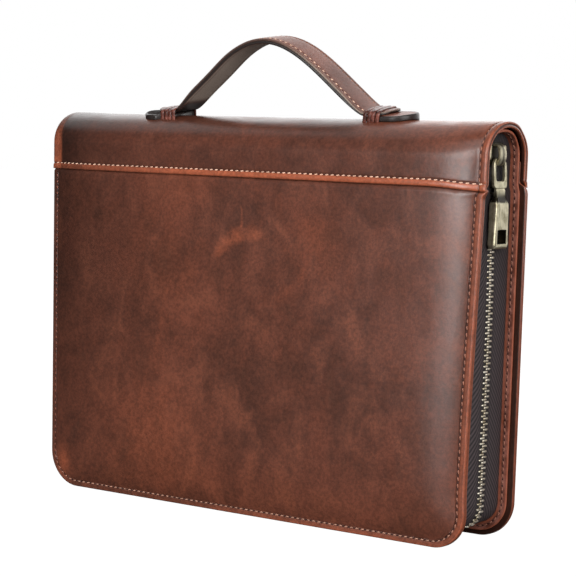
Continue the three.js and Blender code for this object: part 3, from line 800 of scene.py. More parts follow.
def antique_brass(name, pale, deep, roughness):
    """Die-cast brass, plated, blackened and brushed back: pale metal on the faces with olive oxide left in
    fine upright scratches and clouds. The attribute tarnish marks where the blackening was left on, and
    where the same dark is painted as shade on the teeth behind the pull and down the bail's middle."""
    material, tree, shader, place = new_material(name)
    brushed = add(tree, "Mapping", {"Vector": place, "Scale": (1.0, 1.0, 0.06)})
    inputs = {"Vector": brushed, "Scale": per_mm(0.35), "Detail": 4.0, "Roughness": 0.7}
    hair = add(tree, "TexNoise", inputs)
    cloud = add(tree, "TexNoise", {"Vector": place, "Scale": per_mm(4), "Detail": 4.0, "Roughness": 0.6})
    tone = add(tree, "Mix", {0: 0.5, 2: hair, 3: cloud})
    tone = add(tree, "MapRange", [tone, 0.34, 0.6, 0.0, 1.0], **SMOOTH)
    base = add(tree, "Mix", {0: tone, 6: colour(deep), 7: colour(pale)}, **COLOURS)
    tarnish = add(tree, "Attribute", output="Fac", attribute_name="tarnish")
    steps = [hair, 0.3, 0.7, roughness - 0.06, roughness + 0.08]
    fill(tree, shader, {
        "Base Color": add(tree, "Mix", {0: tarnish, 6: base, 7: colour("tarnish")}, **COLOURS),
        "Roughness": add(tree, "MapRange", steps, **SMOOTH),
        "Normal": add(tree, "Bump", {"Height": hair, "Strength": 0.15, "Distance": 0.05 * MM}),
        "Metallic": 0.88,
    })
    return material


def ready(name, maker, *arguments):
    """A material by its name, made the first time that it is asked for."""
    return bpy.data.materials.get(name) or maker(name, *arguments)


# Covers

# The cut edge of a cover, from its inner face to its outer face: two layers with a crease between them
COVER_EDGE_ROWS = (
    {"inset": 0.6, "out": -3.0},
    {"inset": 0.18, "out": -2.9},
    {"inset": 0.0, "out": -2.6},
    {"inset": 0.0, "out": -1.9},
    {"inset": 0.25, "out": -1.55},
    {"inset": 0.0, "out": -1.2},
    {"inset": 0.0, "out": -0.65},
    {"inset": 0.12, "out": -0.28},
    {"inset": 0.4, "out": -0.06},
)
# The depth of that crease, and the spacing and number of the points round a cover
COVER_CREASE = -1.55
COVER_STEP = 0.9
CORNER_STEPS = 18
TOP_STEPS = 60

# Rubbed places on the front cover, in millimetres: where, how far they reach, and how strong they are
RUBBED = (
    {"x": -44.0, "z": 160.0, "wide": 24.0, "high": 12.0, "strength": 0.2},
    {"x": -50.0, "z": 116.0, "wide": 26.0, "high": 30.0, "strength": 0.15},
    {"x": -52.0, "z": 32.0, "wide": 34.0, "high": 34.0, "strength": 0.36},
    {"x": -120.0, "z": 12.0, "wide": 5.0, "high": 9.0, "strength": 0.7},
    {"x": 40.0, "z": 140.0, "wide": 14.0, "high": 12.0, "strength": 0.2},
)

# The cover's upper corners are cut back under the band, in millimetres
UNDER_BAND = 2.5


def left_shade(x, z):
    """Painted shade: how much darker the leather is made towards the left end, most of all under the spine.
    """
    shade = 0.37 * smoothstep(-x, 5.0, 115.0) + 0.2 * smoothstep(-x, 90.0, 125.0)
    return shade * lerp(0.45, 1.0, smoothstep(z, 30.0, 120.0))


def cover_part(sign):
    """A cover as rings round its edge: from the middle of its flat inner face out to its cut edge, over
    the border with its stitched channel, up the shoulder and over the padded field to its middle."""
    sides, bottom = round(COVER_TOP / COVER_STEP), round(CASE_WIDTH / COVER_STEP)
    stretch, share = edge_marks([sides, CORNER_STEPS, bottom, CORNER_STEPS, sides, TOP_STEPS])
    centre = COVER_TOP / 2
    seam_rows = COVER_STITCH + np.array([-0.9, -0.6, -0.4, -0.2, 0.0, 0.2, 0.4, 0.6])
    shoulder = BORDER + SHOULDER * np.linspace(0.04, 1.7, 22) ** 1.5
    field = np.linspace(shoulder[-1], centre, 12)[1:]
    face = np.concatenate([[0.8, 1.3, 1.9, 2.5], seam_rows, shoulder, field])
    edge = np.array([[row["inset"], row["out"]] for row in COVER_EDGE_ROWS])
    inner = np.array([centre, 30.0, 8.0])
    inset = np.concatenate([inner, edge[:, 0], face])[:, None]
    flat = np.concatenate([np.full(3, -COVER_EDGE), edge[:, 1], 0 * face])[:, None]
    place = border_narrowing(inset, stretch, share)
    x, z = edge_line(place, stretch, share, COVER_TOP - place, COVER_TOP - place)
    under_band = smoothstep(z, BAND_EDGE + CLEAR, BAND_EDGE + 2) * (1 - smoothstep(inset, 2, 9))
    x = x - np.sign(x) * UNDER_BAND * under_band
    plain_x, plain_z = edge_line(inset, stretch, share, COVER_TOP - inset, COVER_TOP - inset)
    inside = soft_least(half_width(plain_z) - np.abs(plain_x), plain_z)
    channel = groove(inset - COVER_STITCH) * lerp(LEFT_CHANNEL["cover"], 1.0, smoothstep(x, -125.0, -95.0))
    out = np.where(flat < 0, flat, swell(inside) - channel)
    depth = tuck(z) * np.clip((out + COVER_EDGE) / COVER_EDGE, 0, 1)
    uneven = 0.3 * ripple(x, z) * smoothstep(inset, BORDER, BORDER + 25) * (flat == 0)
    points = points_of(x, sign * (half_depth(z) + out - depth + uneven), z)
    wear = lerp(0.75, 0.3, smoothstep(inset, 0.5, 3.3))
    strip = (1 - smoothstep(inset, COVER_STITCH - 0.4, COVER_STITCH + 0.5)) * wear
    cut = flat < -0.2
    rub = np.where(cut, 0.65, strip) * lerp(0.12, 1.0, smoothstep(x, -120.0, 125.0))
    spots = sum(
        spot["strength"] * bell(x - spot["x"], spot["wide"]) * bell(z - spot["z"], spot["high"])
        for spot in RUBBED
    )
    rub = np.maximum(rub, spots if sign < 0 else 0.5 * spots)
    # Painted shade: a dark line down the stitched channel, in the crease between the plies of the cut edge,
    # along a ply line on the right border, on the cut edge towards the left, over the inner face, and
    # towards the left end
    seam_shade = 0.75 * bell(inset - COVER_STITCH, 0.5) * (flat == 0)
    crease = 0.4 * bell(flat - COVER_CREASE, 0.3) + 0.5 * cut * (1 - smoothstep(x, -60.0, 100.0))
    ply = 0.35 * bell(inset - PLY_LINE, 0.4) * (flat == 0) * smoothstep(x, 60, 115)
    hidden_shade = 0.9 * (flat < -2.8)
    burnish = greatest(seam_shade, crease, ply, hidden_shade, left_shade(x, z) * (1 - spots.clip(0, 1)))
    layers = {"rub": rub.ravel(), "burnish": burnish.ravel()}
    return grid_part(points, close_columns=True), layers


def cover_stitch_line(sign):
    """The line of a cover's stitches, from under the band round the three free sides, with its normals
    and tone."""
    stretch, share = edge_marks([400, 60, 600, 60, 400])
    top = BAND_EDGE - CLEAR - 1.5
    inset = border_narrowing(np.full(len(share), COVER_STITCH), stretch, share)
    x, z = edge_line(inset, stretch, share, top, top)
    path = points_of(x, sign * (half_depth(z) - tuck(z) - GROOVE_DEPTH * 0.6), z)
    tone = along_edge(stretch, share, 0.15, 0.35, 0.0)
    return path, np.broadcast_to([0.0, float(sign), 0.0], path.shape), tone


class CASE_OT_covers(bpy.types.Operator):
    """Build the two padded covers and the stitches round their edges"""

    bl_idname = "case.covers"
    bl_label = "Covers"

    def execute(self, context):
        leather = ready("Pull-up cowhide, waxed and drummed", pull_up_leather, True)
        for sign, side in ((-1, "front"), (1, "back")):
            part, layers = cover_part(sign)
            cover = build_piece(
                f"{side}_cover", part, leather, [f"{side}_panel"], layers=layers
            )
            sew(f"{side}_cover_stitches", [cover_stitch_line(sign)])
        return {"FINISHED"}


# Spine band

# The rounding of the band's lower edges, how far they stand out as a hem, and the thickness of the
# doubled ends, in millimetres
EDGE_ROUND = 0.75
HEM = 0.3
RIM_THICK = 2.9
# Heights of the band's rows over its lower edge, closest at the edge and the stitched channel
BAND_CLIMB = np.array([
    0.0, 0.1, 0.3, 0.75, 1.3, 1.9, 2.4, 2.75, 3.1, 3.45, 3.8, 4.3, 5.2, 6.5, 8.5, 10.5, 12.5
])
# The band's ends, from the crease between their two layers over the rim to the leather behind the
# stitches: the distance from the end, and where the outer and the inner face lie as shares of the
# thickness
BAND_END_ROWS = (
    {"inset": 0.6, "outer": 0.5, "inner": 0.5},
    {"inset": 0.12, "outer": 0.38, "inner": 0.62},
    {"inset": 0.0, "outer": 0.22, "inner": 0.78},
    {"inset": 0.1, "outer": 0.08, "inner": 0.92},
    {"inset": 0.35, "outer": 0.02, "inner": 0.98},
)
# Distances from the end of the rows behind that rim, closest at the stitched channel
BAND_INSETS = (
    0.8, 1.4, 2.0, 2.5, 2.9, 3.15, 3.4, 3.65, 3.9, 4.3, 4.8, 5.5, 6.5, 7.5, 8.5, 10.0, 11.5, 13.0
)
ARCH_ROWS = 36
BAND_COLUMNS = 110
# The left end's pale border is wider than the right one by this much
LEFT_BORDER = 2.4


def band_part():
    """The spine band: sections along the spine, each an inverted U with round lower edges. The band is
    doubled at its two ends."""
    half = CASE_WIDTH / 2
    rim = np.array([[row["inset"], row["outer"], row["inner"]] for row in BAND_END_ROWS])
    plain = np.array([[inset, 0.0, 1.0] for inset in BAND_INSETS])
    rows = np.concatenate([rim, plain])
    middle = np.linspace(-1, 1, BAND_COLUMNS)[1:-1, None] * (half - BAND_INSETS[-1])
    x = np.concatenate([rows[:, :1] - half, middle, half - rows[::-1, :1]])
    flat = np.tile([[0.0, 1.0]], (len(middle), 1))
    shares = np.concatenate([rows[:, 1:], flat, rows[::-1, 1:]])
    u = x / half
    leg = BAND_CLIMB / BAND_LEG
    v = np.concatenate([leg, np.linspace(1, 2, ARCH_ROWS), 3 - leg[::-1]])[None, :]
    inset = half - np.abs(x)
    climb = np.minimum(v, 3 - v) * BAND_LEG
    doubled = (1 - smoothstep(inset, 2.0, 3.5)) * smoothstep(climb, 1.0, 3.0)
    thick = lerp(BAND_THICK, RIM_THICK, doubled)
    foot = 1 - np.minimum(climb / EDGE_ROUND, 1)
    closing = 0.5 * (1 - np.sqrt(1 - foot**2))
    outer = band_point(u, v, thick * np.maximum(shares[:, :1], closing))
    inner = band_point(u, v, thick * np.minimum(shares[:, 1:], 1 - closing))
    points = np.concatenate([outer, inner[:, ::-1]], axis=1)
    wear = lerp(0.6, 1.3, smoothstep(u, -0.9, 0.1))
    strip = (1 - smoothstep(climb, BAND_STITCH - 0.5, BAND_STITCH + 0.4)) * wear
    fade = lerp(0.9, np.where(u > 0, 0.4, 0.95), smoothstep(inset, 0.5, 2.8)) * 0.9
    arch = np.sin(np.clip(v - 1, 0, 1) * np.pi)
    left_arch = arch * (u < 0)
    border = END_STITCH + np.where(u > 0, 0.0, LEFT_BORDER) * (1 - 1.5 * left_arch)
    end = (1 - smoothstep(inset, border - 0.4, border + 1.2)) * fade * (1 - 0.8 * left_arch)
    # Painted sheen: the crest of the arch is paled towards the right end as a highlight
    crest_sheen = 0.7 * smoothstep(u, 0.3, 0.75) * arch**3
    rub = greatest(strip, end, crest_sheen)
    # Painted shade: dark lines down the stitched channels, on the lower lip, in the crease between the
    # doubled layers and at the left end's edge, darker leather from the middle to the left, and a dark
    # inner face
    seam_shade = np.maximum(0.6 * bell(climb - BAND_STITCH, 0.4), bell(inset - END_STITCH, 0.45) * (u > 0))
    lip = 1 - smoothstep(climb, 0.0, 0.12)
    ply = 0.35 * bell(inset - PLY_LINE, 0.4) * (u > 0)
    crease = np.maximum(smoothstep(shares[:, :1], 0.3, 0.45) + ply, 0.8 * (inset < 0.3) * (u < 0))
    dim = np.maximum(0.2 * (1 - smoothstep(x, 30.0, 110.0)), 1.35 * left_shade(x, SPINE_TOP))
    rim_face = inset < 0.5
    burnish = greatest(0.7 * seam_shade, lip, crease, dim * (1 - rub))
    layers = {
        "rub": np.concatenate([rub, np.where(rim_face, rub, 0.3 * end)[:, ::-1]], axis=1).ravel(),
        "burnish": np.concatenate([burnish, np.where(rim_face, burnish, 0.85)[:, ::-1]], axis=1).ravel(),
    }
    return grid_part(points, close_columns=True), layers


def band_line(u, v, tone, sink=0.0):
    """A line on the band's outer face or sunk into it, with the face's normals from the cross product of
    its two directions."""
    step = 1e-4
    at = band_point(u, v, sink)
    normal = np.cross(band_point(u + step, v, sink) - at, band_point(u, v + step, sink) - at)
    return at, unit(normal), tone


def band_stitch_lines():
    """The band's stitch lines: pale along both lower edges, and rust over the arch at both ends."""
    half = CASE_WIDTH / 2
    u = np.linspace(-1, 1, 900) * (1 - 1.2 / half)
    low = BAND_STITCH / BAND_LEG
    v = np.linspace(low, 3 - low, 700)
    end = 1 - END_STITCH / half
    return [
        band_line(u, np.full_like(u, low), 1.0),
        band_line(u, np.full_like(u, 3 - low), 1.0),
        band_line(np.full_like(v, end), v, 0.15),
        band_line(np.full_like(v, -end), v, 0.0, sink=0.32),
    ]


class CASE_OT_spine(bpy.types.Operator):
    """Build the band that wraps the spine, and its stitches"""

    bl_idname = "case.spine"
    bl_label = "Spine band"

    def execute(self, context):
        part, layers = band_part()
        leather = ready("Pull-up cowhide band, waxed", pull_up_leather, False)
        build_piece("spine_wrap", part, leather, ["spine_band"], layers=layers)
        sew("spine_stitches", band_stitch_lines())
        return {"FINISHED"}


# Edge facing

FACING_ROUND = 0.35
# Besides its edge, the facing is paler along a line at this inset, in millimetres
FACING_PALE = 6.2


def facing_section():
    """The facing's section, as insets and depths: a strip with its four corners rounded."""
    turn = np.linspace(0, np.pi / 2, 4)
    near, far = FACING_INSET + FACING_ROUND, FACING_INSET + FACING_WIDTH - FACING_ROUND
    deep, high = FACING_INNER + FACING_ROUND, FACING_OUTER - FACING_ROUND
    face = np.linspace(near, far, 18)[1:-1]
    across, upright = FACING_ROUND * np.sin(turn), FACING_ROUND * np.cos(turn)
    inset = np.concatenate([near - across, near - upright, face, far + across, far + upright])
    out = np.concatenate([
        high + upright, deep - across, FACING_INNER + 0 * face, deep - upright, high + across
    ])
    return inset, out


def facing_run(inset, out, sign):
    """The facing along one cover: the strip's section carried round the three free sides."""
    stretch, share = edge_marks([90, 14, 120, 14, 91])
    stretch, share = stretch[:, None], share[:, None]
    x, z = edge_line(inset, stretch, share, ARCH_FOOT, ARCH_FOOT)
    return points_of(x, sign * (half_depth(z) + out), z)


def facing_arch(inset, out, sign):
    """The facing under one end of the spine: its section carried over the arch from front to back."""
    angle = np.linspace(0, np.pi, 40)[:, None]
    z = ARCH_FOOT + (ARCH_RISE + out) * np.sin(angle)
    y = -(half_depth(ARCH_FOOT) + out) * np.cos(angle)
    return points_of(sign * (half_width(z) - inset), y, z)


def facing_points(inset, out):
    """The whole facing: along the front, over the left end, back along the back and over the right
    end."""
    return np.concatenate([
        facing_run(inset, out, -1),
        facing_arch(inset, out, -1),
        facing_run(inset, out, 1)[::-1],
        facing_arch(inset, out, 1)[::-1],
    ])


class CASE_OT_facing(bpy.types.Operator):
    """Build the leather strip inside the edges, and its stitches"""

    bl_idname = "case.facing"
    bl_label = "Edge facing"

    def execute(self, context):
        leather = ready("Split cowhide facing, dyed", plain_leather, "facing_dark", "facing", 6.0, 0.6)
        inset, out = facing_section()
        strip = grid_part(facing_points(inset, out), close_rows=True, close_columns=True)
        pale = 0.75 * bell(inset - FACING_INSET, 0.7) + 0.8 * bell(inset - FACING_PALE, 0.6)
        layers = {"rub": np.tile(pale, len(strip[0]) // len(inset))}
        build_piece("facing_strip", strip, leather, ["edge_facing"], layers=layers)
        line = np.array([FACING_INSET + FACING_STITCH])
        path = facing_points(line, np.array([FACING_INNER - 0.05]))[:, 0]
        deeper = facing_points(line, np.array([FACING_INNER - 1.05]))[:, 0]
        keep = np.linalg.norm(np.diff(path, axis=0, prepend=path[-1:]), axis=1) > 1e-3
        sew("facing_stitches", [(path[keep], unit(deeper - path)[keep], 0.15)])
        return {"FINISHED"}


# Zip

# Points across a half of the tape, and how far it bows outwards, in millimetres
TAPE_ACROSS = 10
TAPE_BOW = 0.35


def tape_part(sign):
    """One half of the zip's tape: a flat strip bowed slightly outwards, from the middle of the chain to the
    facing, whose upper ends narrow into the arch. Shade is painted on it behind the teeth and up in the
    spine."""
    sink = FACING_INNER - CLEAR
    rise = ARCH_RISE + sink
    top = ARCH_FOOT + rise * TAPE_REACH
    stretch, share = edge_marks([160, 14, 160, 14, 161])
    stretch, share = stretch[:, None], share[:, None]
    across = np.linspace(0, 1, TAPE_ACROSS)[None, :]

    def face(inset):
        x, z = edge_line(np.full_like(across, inset), stretch, share, top, top, dip=lerp(1.0, 0.1, across))
        up = np.clip((z - ARCH_FOOT) / rise, 0, 1)
        far = (half_depth(z) + sink) * np.sqrt(1 - up**2)
        return x, lerp(CLEAR, far, across), z

    bow = TAPE_BOW * np.sin(across * np.pi)
    x, y, z = face(TAPE_INSET)
    outwards = np.sign(x) * bow * np.isin(stretch, [RIGHT, LEFT])
    downwards = -bow * (stretch == BOTTOM)
    outer = points_of(x + outwards, sign * y, z + downwards)
    x, y, z = face(TAPE_INSET + TAPE_THICK)
    inner = points_of(x, sign * y, z)
    loop = np.concatenate([outer, inner[:, ::-1]], axis=1)
    cap = 0.5 * (loop + loop[:, ::-1])
    points = np.concatenate([cap[:1], loop, cap[-1:]])
    run = np.cumsum(np.linalg.norm(np.diff(points[:, 0], axis=0, prepend=points[:1, 0]), axis=1))
    uv = np.stack(np.broadcast_arrays(run[:, None], np.abs(points[..., 1])), axis=-1).reshape(-1, 2) * MM
    # Painted shade: dark behind the teeth and up in the spine
    behind = 1 - smoothstep(np.abs(points[..., 1]), CHAIN_WIDTH / 3, CHAIN_WIDTH * 0.8)
    shade = np.maximum(0.75 * smoothstep(points[..., 2], 100.0, 165.0), behind).ravel()
    return grid_part(points, close_columns=True), uv, {"shade": shade}


# A tooth across the chain, from its head past the middle to its foot on the tape, in millimetres
TOOTH_SECTIONS = (
    {"across": -0.75, "half_long": 0.0, "half_high": 0.0},
    {"across": -0.75, "half_long": 0.34, "half_high": 0.75},
    {"across": -0.45, "half_long": 0.52, "half_high": 1.1},
    {"across": 0.5, "half_long": 0.52, "half_high": 1.28},
    {"across": 1.9, "half_long": 0.54, "half_high": 1.25},
    {"across": 2.75, "half_long": 0.48, "half_high": 1.05},
    {"across": 3.0, "half_long": 0.36, "half_high": 0.7},
    {"across": 3.0, "half_long": 0.0, "half_high": 0.0},
)
TOOTH_SIDES = 10

# Heights over which the teeth on the right end fade to black: painted shade behind the pull
TEETH_SHADE_HEIGHTS = (148.0, 153.0)


def tooth_form():
    """One tooth: rounded sections carried across the chain, closed at its head and its foot."""
    table = np.array([[row["across"], row["half_long"], row["half_high"]] for row in TOOTH_SECTIONS])
    turn = (np.arange(TOOTH_SIDES) + 0.5) / TOOTH_SIDES * 2 * np.pi
    along = signed_power(np.cos(turn), 0.5) * table[:, 1:2]
    out = signed_power(np.sin(turn), 0.5) * table[:, 2:3]
    return grid_part(points_of(along, table[:, :1], out), close_columns=True)


def chain_part():
    """Both rows of teeth along the middle of the tape: the back row is the front row moved on by half a
    pitch."""
    stretch, share = edge_marks([500, 60, 700, 60, 501])
    middle = np.full(len(share), CHAIN_INSET + CHAIN_THICK / 2)
    tops = SLIDER_HEIGHT - 1.4, ARCH_FOOT + ARCH_RISE / 2
    x, z = edge_line(middle, stretch, share, *tops, dip=1.0)
    inner_x, inner_z = edge_line(middle + 1, stretch, share, *tops, dip=1.0)
    path = points_of(x, 0.0, z)
    normals = unit(path - points_of(inner_x, 0.0, inner_z))
    origins, axes, _ = evenly(path, normals, mm("tooth_pitch"))
    along, out = axes[:, 0], axes[:, 2]
    half_step = mm("tooth_pitch") / 2
    rows = []
    for sign in (-1, 1):
        across = np.broadcast_to([0.0, float(sign), 0.0], along.shape)
        turned = np.stack([along, across, out], axis=1)
        rows.append(copies(tooth_form(), origins + along * half_step * (sign > 0), turned))
    return join_parts(*rows)


def softened(corners, rounds=3, keep=0.2):
    """An outline with its corners cut off again and again, each time at a share of its sides."""
    outline = np.array(corners, dtype=float)
    for _ in range(rounds):
        after = np.roll(outline, -1, axis=0)
        cuts = lerp(outline, after, keep), lerp(outline, after, 1 - keep)
        outline = np.stack(cuts, axis=1).reshape(-1, 2)
    return outline


def mirrored(half):
    """A whole outline in (y, z) from the corners of its half at positive y."""
    right = np.array(half, dtype=float)
    return np.concatenate([right, right[::-1] * [-1, 1]])


def slab(outline, low, high, edge, crown=0.0):
    """A plate in the plane of the zip: its outline at every x from low to high, drawn in along quarter
    circles at both faces, and each face closed at its middle."""
    middle = outline.mean(axis=0)
    reach = unit(outline - middle)
    turn = np.linspace(0, np.pi / 2, 4)
    draw = edge * (1 - np.sin(turn))
    rise = edge * (1 - np.cos(turn))
    inset = np.concatenate([[np.inf], draw[:1] + 1.0, draw, draw[::-1], draw[:1] + 1.0, [np.inf]])
    x = np.concatenate([[low, low], low + rise, (high - rise)[::-1], [high + crown * 0.7, high + crown]])
    limit = np.linalg.norm(outline - middle, axis=1)
    taken = np.minimum(inset[:, None], limit[None, :])
    flat = outline[None] - reach[None] * taken[..., None]
    return grid_part(points_of(x[:, None], flat[..., 0], flat[..., 1]), close_columns=True)


def ray_outline(corners, centre, angles):
    """Where rays from a centre leave an outline: the nearest crossing of each ray with the outline's
    sides."""
    start = corners - centre
    side = np.roll(start, -1, axis=0) - start
    ray = np.stack([np.cos(angles), np.sin(angles)], axis=1)[:, None, :]
    cross = ray[..., 0] * side[None, :, 1] - ray[..., 1] * side[None, :, 0]
    cross = np.where(np.abs(cross) < 1e-9, 1e-9, cross)
    far = (start[None, :, 0] * side[None, :, 1] - start[None, :, 1] * side[None, :, 0]) / cross
    share = (start[None, :, 0] * ray[..., 1] - start[None, :, 1] * ray[..., 0]) / cross
    good = (far > 0) & (share > -1e-6) & (share < 1 + 1e-6)
    reach = np.where(good, far, np.inf).min(axis=1)
    return centre + ray[:, 0] * reach[:, None]


def holed_plate(outer, hole, half_thick, edge, hole_edge, rows=14):
    """A plate with a window: loops that run from the hole's edge to the outer edge on both faces, joined
    through the hole and round the outside by quarter circles. half_thick gives half its thickness at each
    height."""
    centre = hole.mean(axis=0)
    corner_angles = [np.arctan2(*(line - centre).T[::-1]) for line in (outer, hole)]
    angles = np.unique(np.round(np.concatenate(corner_angles + [np.linspace(-np.pi, np.pi, 73)[1:]]), 5))
    outside, inside = (ray_outline(line, centre, angles) for line in (outer, hole))
    way = unit(outside - inside)
    turn = np.linspace(0, np.pi / 2, 5)
    draw, sink = 1 - np.sin(turn), 1 - np.cos(turn)
    rim_out = outside[None] - way[None] * edge * draw[:, None, None]
    rim_in = inside[None] + way[None] * hole_edge * draw[:, None, None]
    share = np.linspace(0, 1, rows)[1:-1, None, None]
    face = lerp(rim_in[0], rim_out[0], share)
    flat = np.concatenate([rim_in[::-1], face, rim_out])
    shy = np.concatenate([hole_edge * sink[::-1], np.zeros(rows - 2), edge * sink])[:, None]
    x = half_thick(flat[..., 1]) - shy
    top = points_of(x, flat[..., 0], flat[..., 1])
    bottom = points_of(-x, flat[..., 0], flat[..., 1])
    return grid_part(np.concatenate([top, bottom[::-1]]), close_rows=True, close_columns=True)


def tube_section(half_wide, half_thick, power=0.5, sides=16):
    """A rounded rectangle about the origin: an ellipse squared up by a power."""
    turn = np.arange(sides) / sides * 2 * np.pi
    return signed_power(np.cos(turn), power) * half_wide, signed_power(np.sin(turn), power) * half_thick


# Half outlines of the slider's plates and of the wedge between them, in (y, z) from the slider's middle,
# the plates' thickness, the inner plate's share of the outer one's size, the flanges and the bail
SLIDER_OUTLINE = ((5.2, -5.5), (7.2, -2.5), (7.2, 4.0), (4.4, 5.5))
WEDGE_OUTLINE = ((2.4, -0.8), (2.4, 4.5))
PLATE_THICK = 1.1
INNER_PLATE = 0.92
FLANGE_THICK = 1.5
BAIL = {"low": -4.2, "high": 3.4, "rise": 2.9, "thick": 1.3, "wide": 5.9, "fullness": 0.5, "aside": -0.3}
BAIL_STEPS = 25
# The slider sits a little towards the front, in millimetres
SLIDER_SHIFT = -1.3
# The bar that the pull hangs from, in from the case's edge line and below the slider's middle
BAR_RADIUS = 0.8
BAR_INSET = 3.2
BAR_DROP = 2.5


def bail_part(foot):
    """The slider's bail: a flat bar carried along a full arch over the outer plate, with both feet in the
    plate, and with shade painted down its middle."""
    angle = np.linspace(0, np.pi, BAIL_STEPS)
    middle, half = (BAIL["low"] + BAIL["high"]) / 2, (BAIL["high"] - BAIL["low"]) / 2 + BAIL["thick"] / 2
    rise = (BAIL["rise"] + BAIL["thick"] / 2) * np.abs(np.sin(angle)) ** BAIL["fullness"]
    path = points_of(foot - CLEAR + rise, BAIL["aside"], middle - half * np.cos(angle))
    along = unit(np.gradient(path, axis=0))
    sideways = np.array([0.0, 1.0, 0.0])
    out = np.cross(sideways, along)
    wide, thick = tube_section(BAIL["wide"] / 2, BAIL["thick"] / 2)
    rows = np.concatenate([[0], np.arange(BAIL_STEPS), [BAIL_STEPS - 1]])
    open_rows = np.ones((len(rows), 1))
    open_rows[[0, -1]] = 0
    wide, thick = wide * open_rows, thick * open_rows
    points = path[rows][:, None] + wide[..., None] * sideways + thick[..., None] * out[rows][:, None]
    # Painted shade: a dark stripe down the middle of the flat bar
    painted_gap_shade = 0.9 * (1 - smoothstep(np.abs(wide), 0.06 * BAIL["wide"], 0.3 * BAIL["wide"]))
    return grid_part(points, close_columns=True), painted_gap_shade.ravel()


def slider_part():
    """The slider in place: crowned outer plate, inner plate and the wedge between them, which are
    blackened, with bright turned-in flanges and a bail with painted shade down its middle, so that it is
    bright only along its edges."""
    plate_in = -(CHAIN_INSET - CLEAR)
    plate_out = plate_in + PLATE_THICK
    back_out = -(CHAIN_INSET + CHAIN_THICK + 2 * CLEAR)
    plate = softened(mirrored(SLIDER_OUTLINE), rounds=3)
    flange_low, flange_high = SLIDER_OUTLINE[1][1], SLIDER_OUTLINE[2][1]
    half = FLANGE_THICK / 2
    flange_y = SLIDER_OUTLINE[1][0] - half
    corners = [[-half, flange_low], [half, flange_low], [half, flange_high], [-half, flange_high]]
    flange = softened(corners, rounds=2)
    dark = [
        slab(plate, plate_in, plate_out, 0.35, crown=0.2),
        slab(plate * INNER_PLATE, back_out - PLATE_THICK, back_out, 0.3),
        slab(softened(mirrored(WEDGE_OUTLINE), 2), back_out - CLEAR, plate_in + CLEAR, 0.2),
    ]
    bright = [
        slab(flange + [flange_y, 0], -(TAPE_INSET - CLEAR), plate_out + 0.8, 0.4),
        slab(flange - [flange_y, 0], -(TAPE_INSET - CLEAR), plate_out + 0.8, 0.4),
    ]
    bail, painted_gap_shade = bail_part(plate_out)
    points, faces = join_parts(*dark, *bright, bail)
    blackened = [np.ones(len(part[0])) for part in dark] + [np.zeros(len(part[0])) for part in bright]
    place = [half_width(SLIDER_HEIGHT) - ZIP_DIP, SLIDER_SHIFT, SLIDER_HEIGHT]
    return (points + place, faces), {"tarnish": np.concatenate([*blackened, painted_gap_shade])}


# Half outlines of the pull's ring and body and of their holes, in (y, z) from its bar, half the body's
# thickness at some heights, and the stretch of the neck that stays black
RING_LENGTH = 13.4
RING_OUTER = ((4.3, -13.4), (5.8, -12.4), (5.6, 0.8))
RING_HOLE = ((4.0, -10.0), (4.0, -0.8))
PULL_OUTLINE = ((6.5, -41.0), (5.5, -19.8), (3.8, -16.8), (3.8, -12.6))
PULL_WINDOW = ((3.9, -38.6), (3.9, -32.3))
PULL_THICKNESS = {"z": (-41.0, -19.8, -16.8, -12.6), "half": (2.1, 2.1, 0.9, 0.8)}
PULL_NECK = {"high": -13.8, "full": -17.5, "low": -19.7}


def pull_part():
    """The pull hanging from its bar: a ring, and a body that widens and thickens from a neck to a
    windowed foot. The blackening is left on round the neck and in the window. The ring leans to the
    slider."""
    body = PULL_THICKNESS

    def body_half(z):
        return np.interp(z, body["z"], body["half"])

    def ring_half(z):
        return np.full_like(z, BAR_RADIUS)

    ring = softened(mirrored(RING_OUTER), 2), softened(mirrored(RING_HOLE), 2, 0.12)
    plate = softened(mirrored(PULL_OUTLINE), 2, 0.08), softened(mirrored(PULL_WINDOW), 2, 0.08)
    points, faces = join_parts(
        holed_plate(*ring, ring_half, 0.4, 0.3), holed_plate(*plate, body_half, 1.3, 0.25, 30)
    )
    _, y, z = points.T
    neck = smoothstep(-z, -PULL_NECK["high"], -PULL_NECK["full"]) * (z > PULL_NECK["low"])
    (wide, low), (_, high) = PULL_WINDOW
    wall = (np.abs(y) < wide + 0.1) & (z > low - 0.1) & (z < high + 0.1)
    tarnish = np.maximum(neck, wall)
    points = points + points_of(0.0, SLIDER_SHIFT * np.clip(1 + z / RING_LENGTH, 0, 1.1), 0.0)
    bar = [half_width(SLIDER_HEIGHT) - ZIP_DIP - BAR_INSET, 0.0, SLIDER_HEIGHT - BAR_DROP]
    return (points + bar, faces), {"tarnish": tarnish}


class CASE_OT_zip(bpy.types.Operator):
    """Build the zip's tapes, teeth, slider and pull"""

    bl_idname = "case.zip"
    bl_label = "Zip"

    def execute(self, context):
        twill = ready("Polyester zip tape, twill woven", zip_twill)
        for sign, side in ((-1, "front"), (1, "back")):
            part, uv, layers = tape_part(sign)
            build_piece(f"tape_{side}", part, twill, [f"zip_tape_{side}"], layers=layers, uv=uv)
        teeth = ready("Brass zip teeth, stamped", antique_brass, "teeth", "teeth_dark", 0.38)
        chain = chain_part()
        # Painted shade: the teeth behind the pull take the blackened colour
        hidden_shade = {"tarnish": smoothstep(chain[0][:, 2], *TEETH_SHADE_HEIGHTS) * (chain[0][:, 0] > 0)}
        build_piece("teeth", chain, teeth, ["zip_chain"], layers=hidden_shade, crease=50)
        brass = ready("Antique brass, blackened and brushed", antique_brass, "brass", "brass_dark", 0.36)
        for name, maker, node, body in (
            ("slider", slider_part, "zip_slider", "case"), ("pull_tag", pull_part, "zip_pull", "pull")
        ):
            part, layers = maker()
            build_piece(
                name, part, brass, [node], body=body, layers=layers, crease=40, soft=False
            )
        return {"FINISHED"}


# Handle

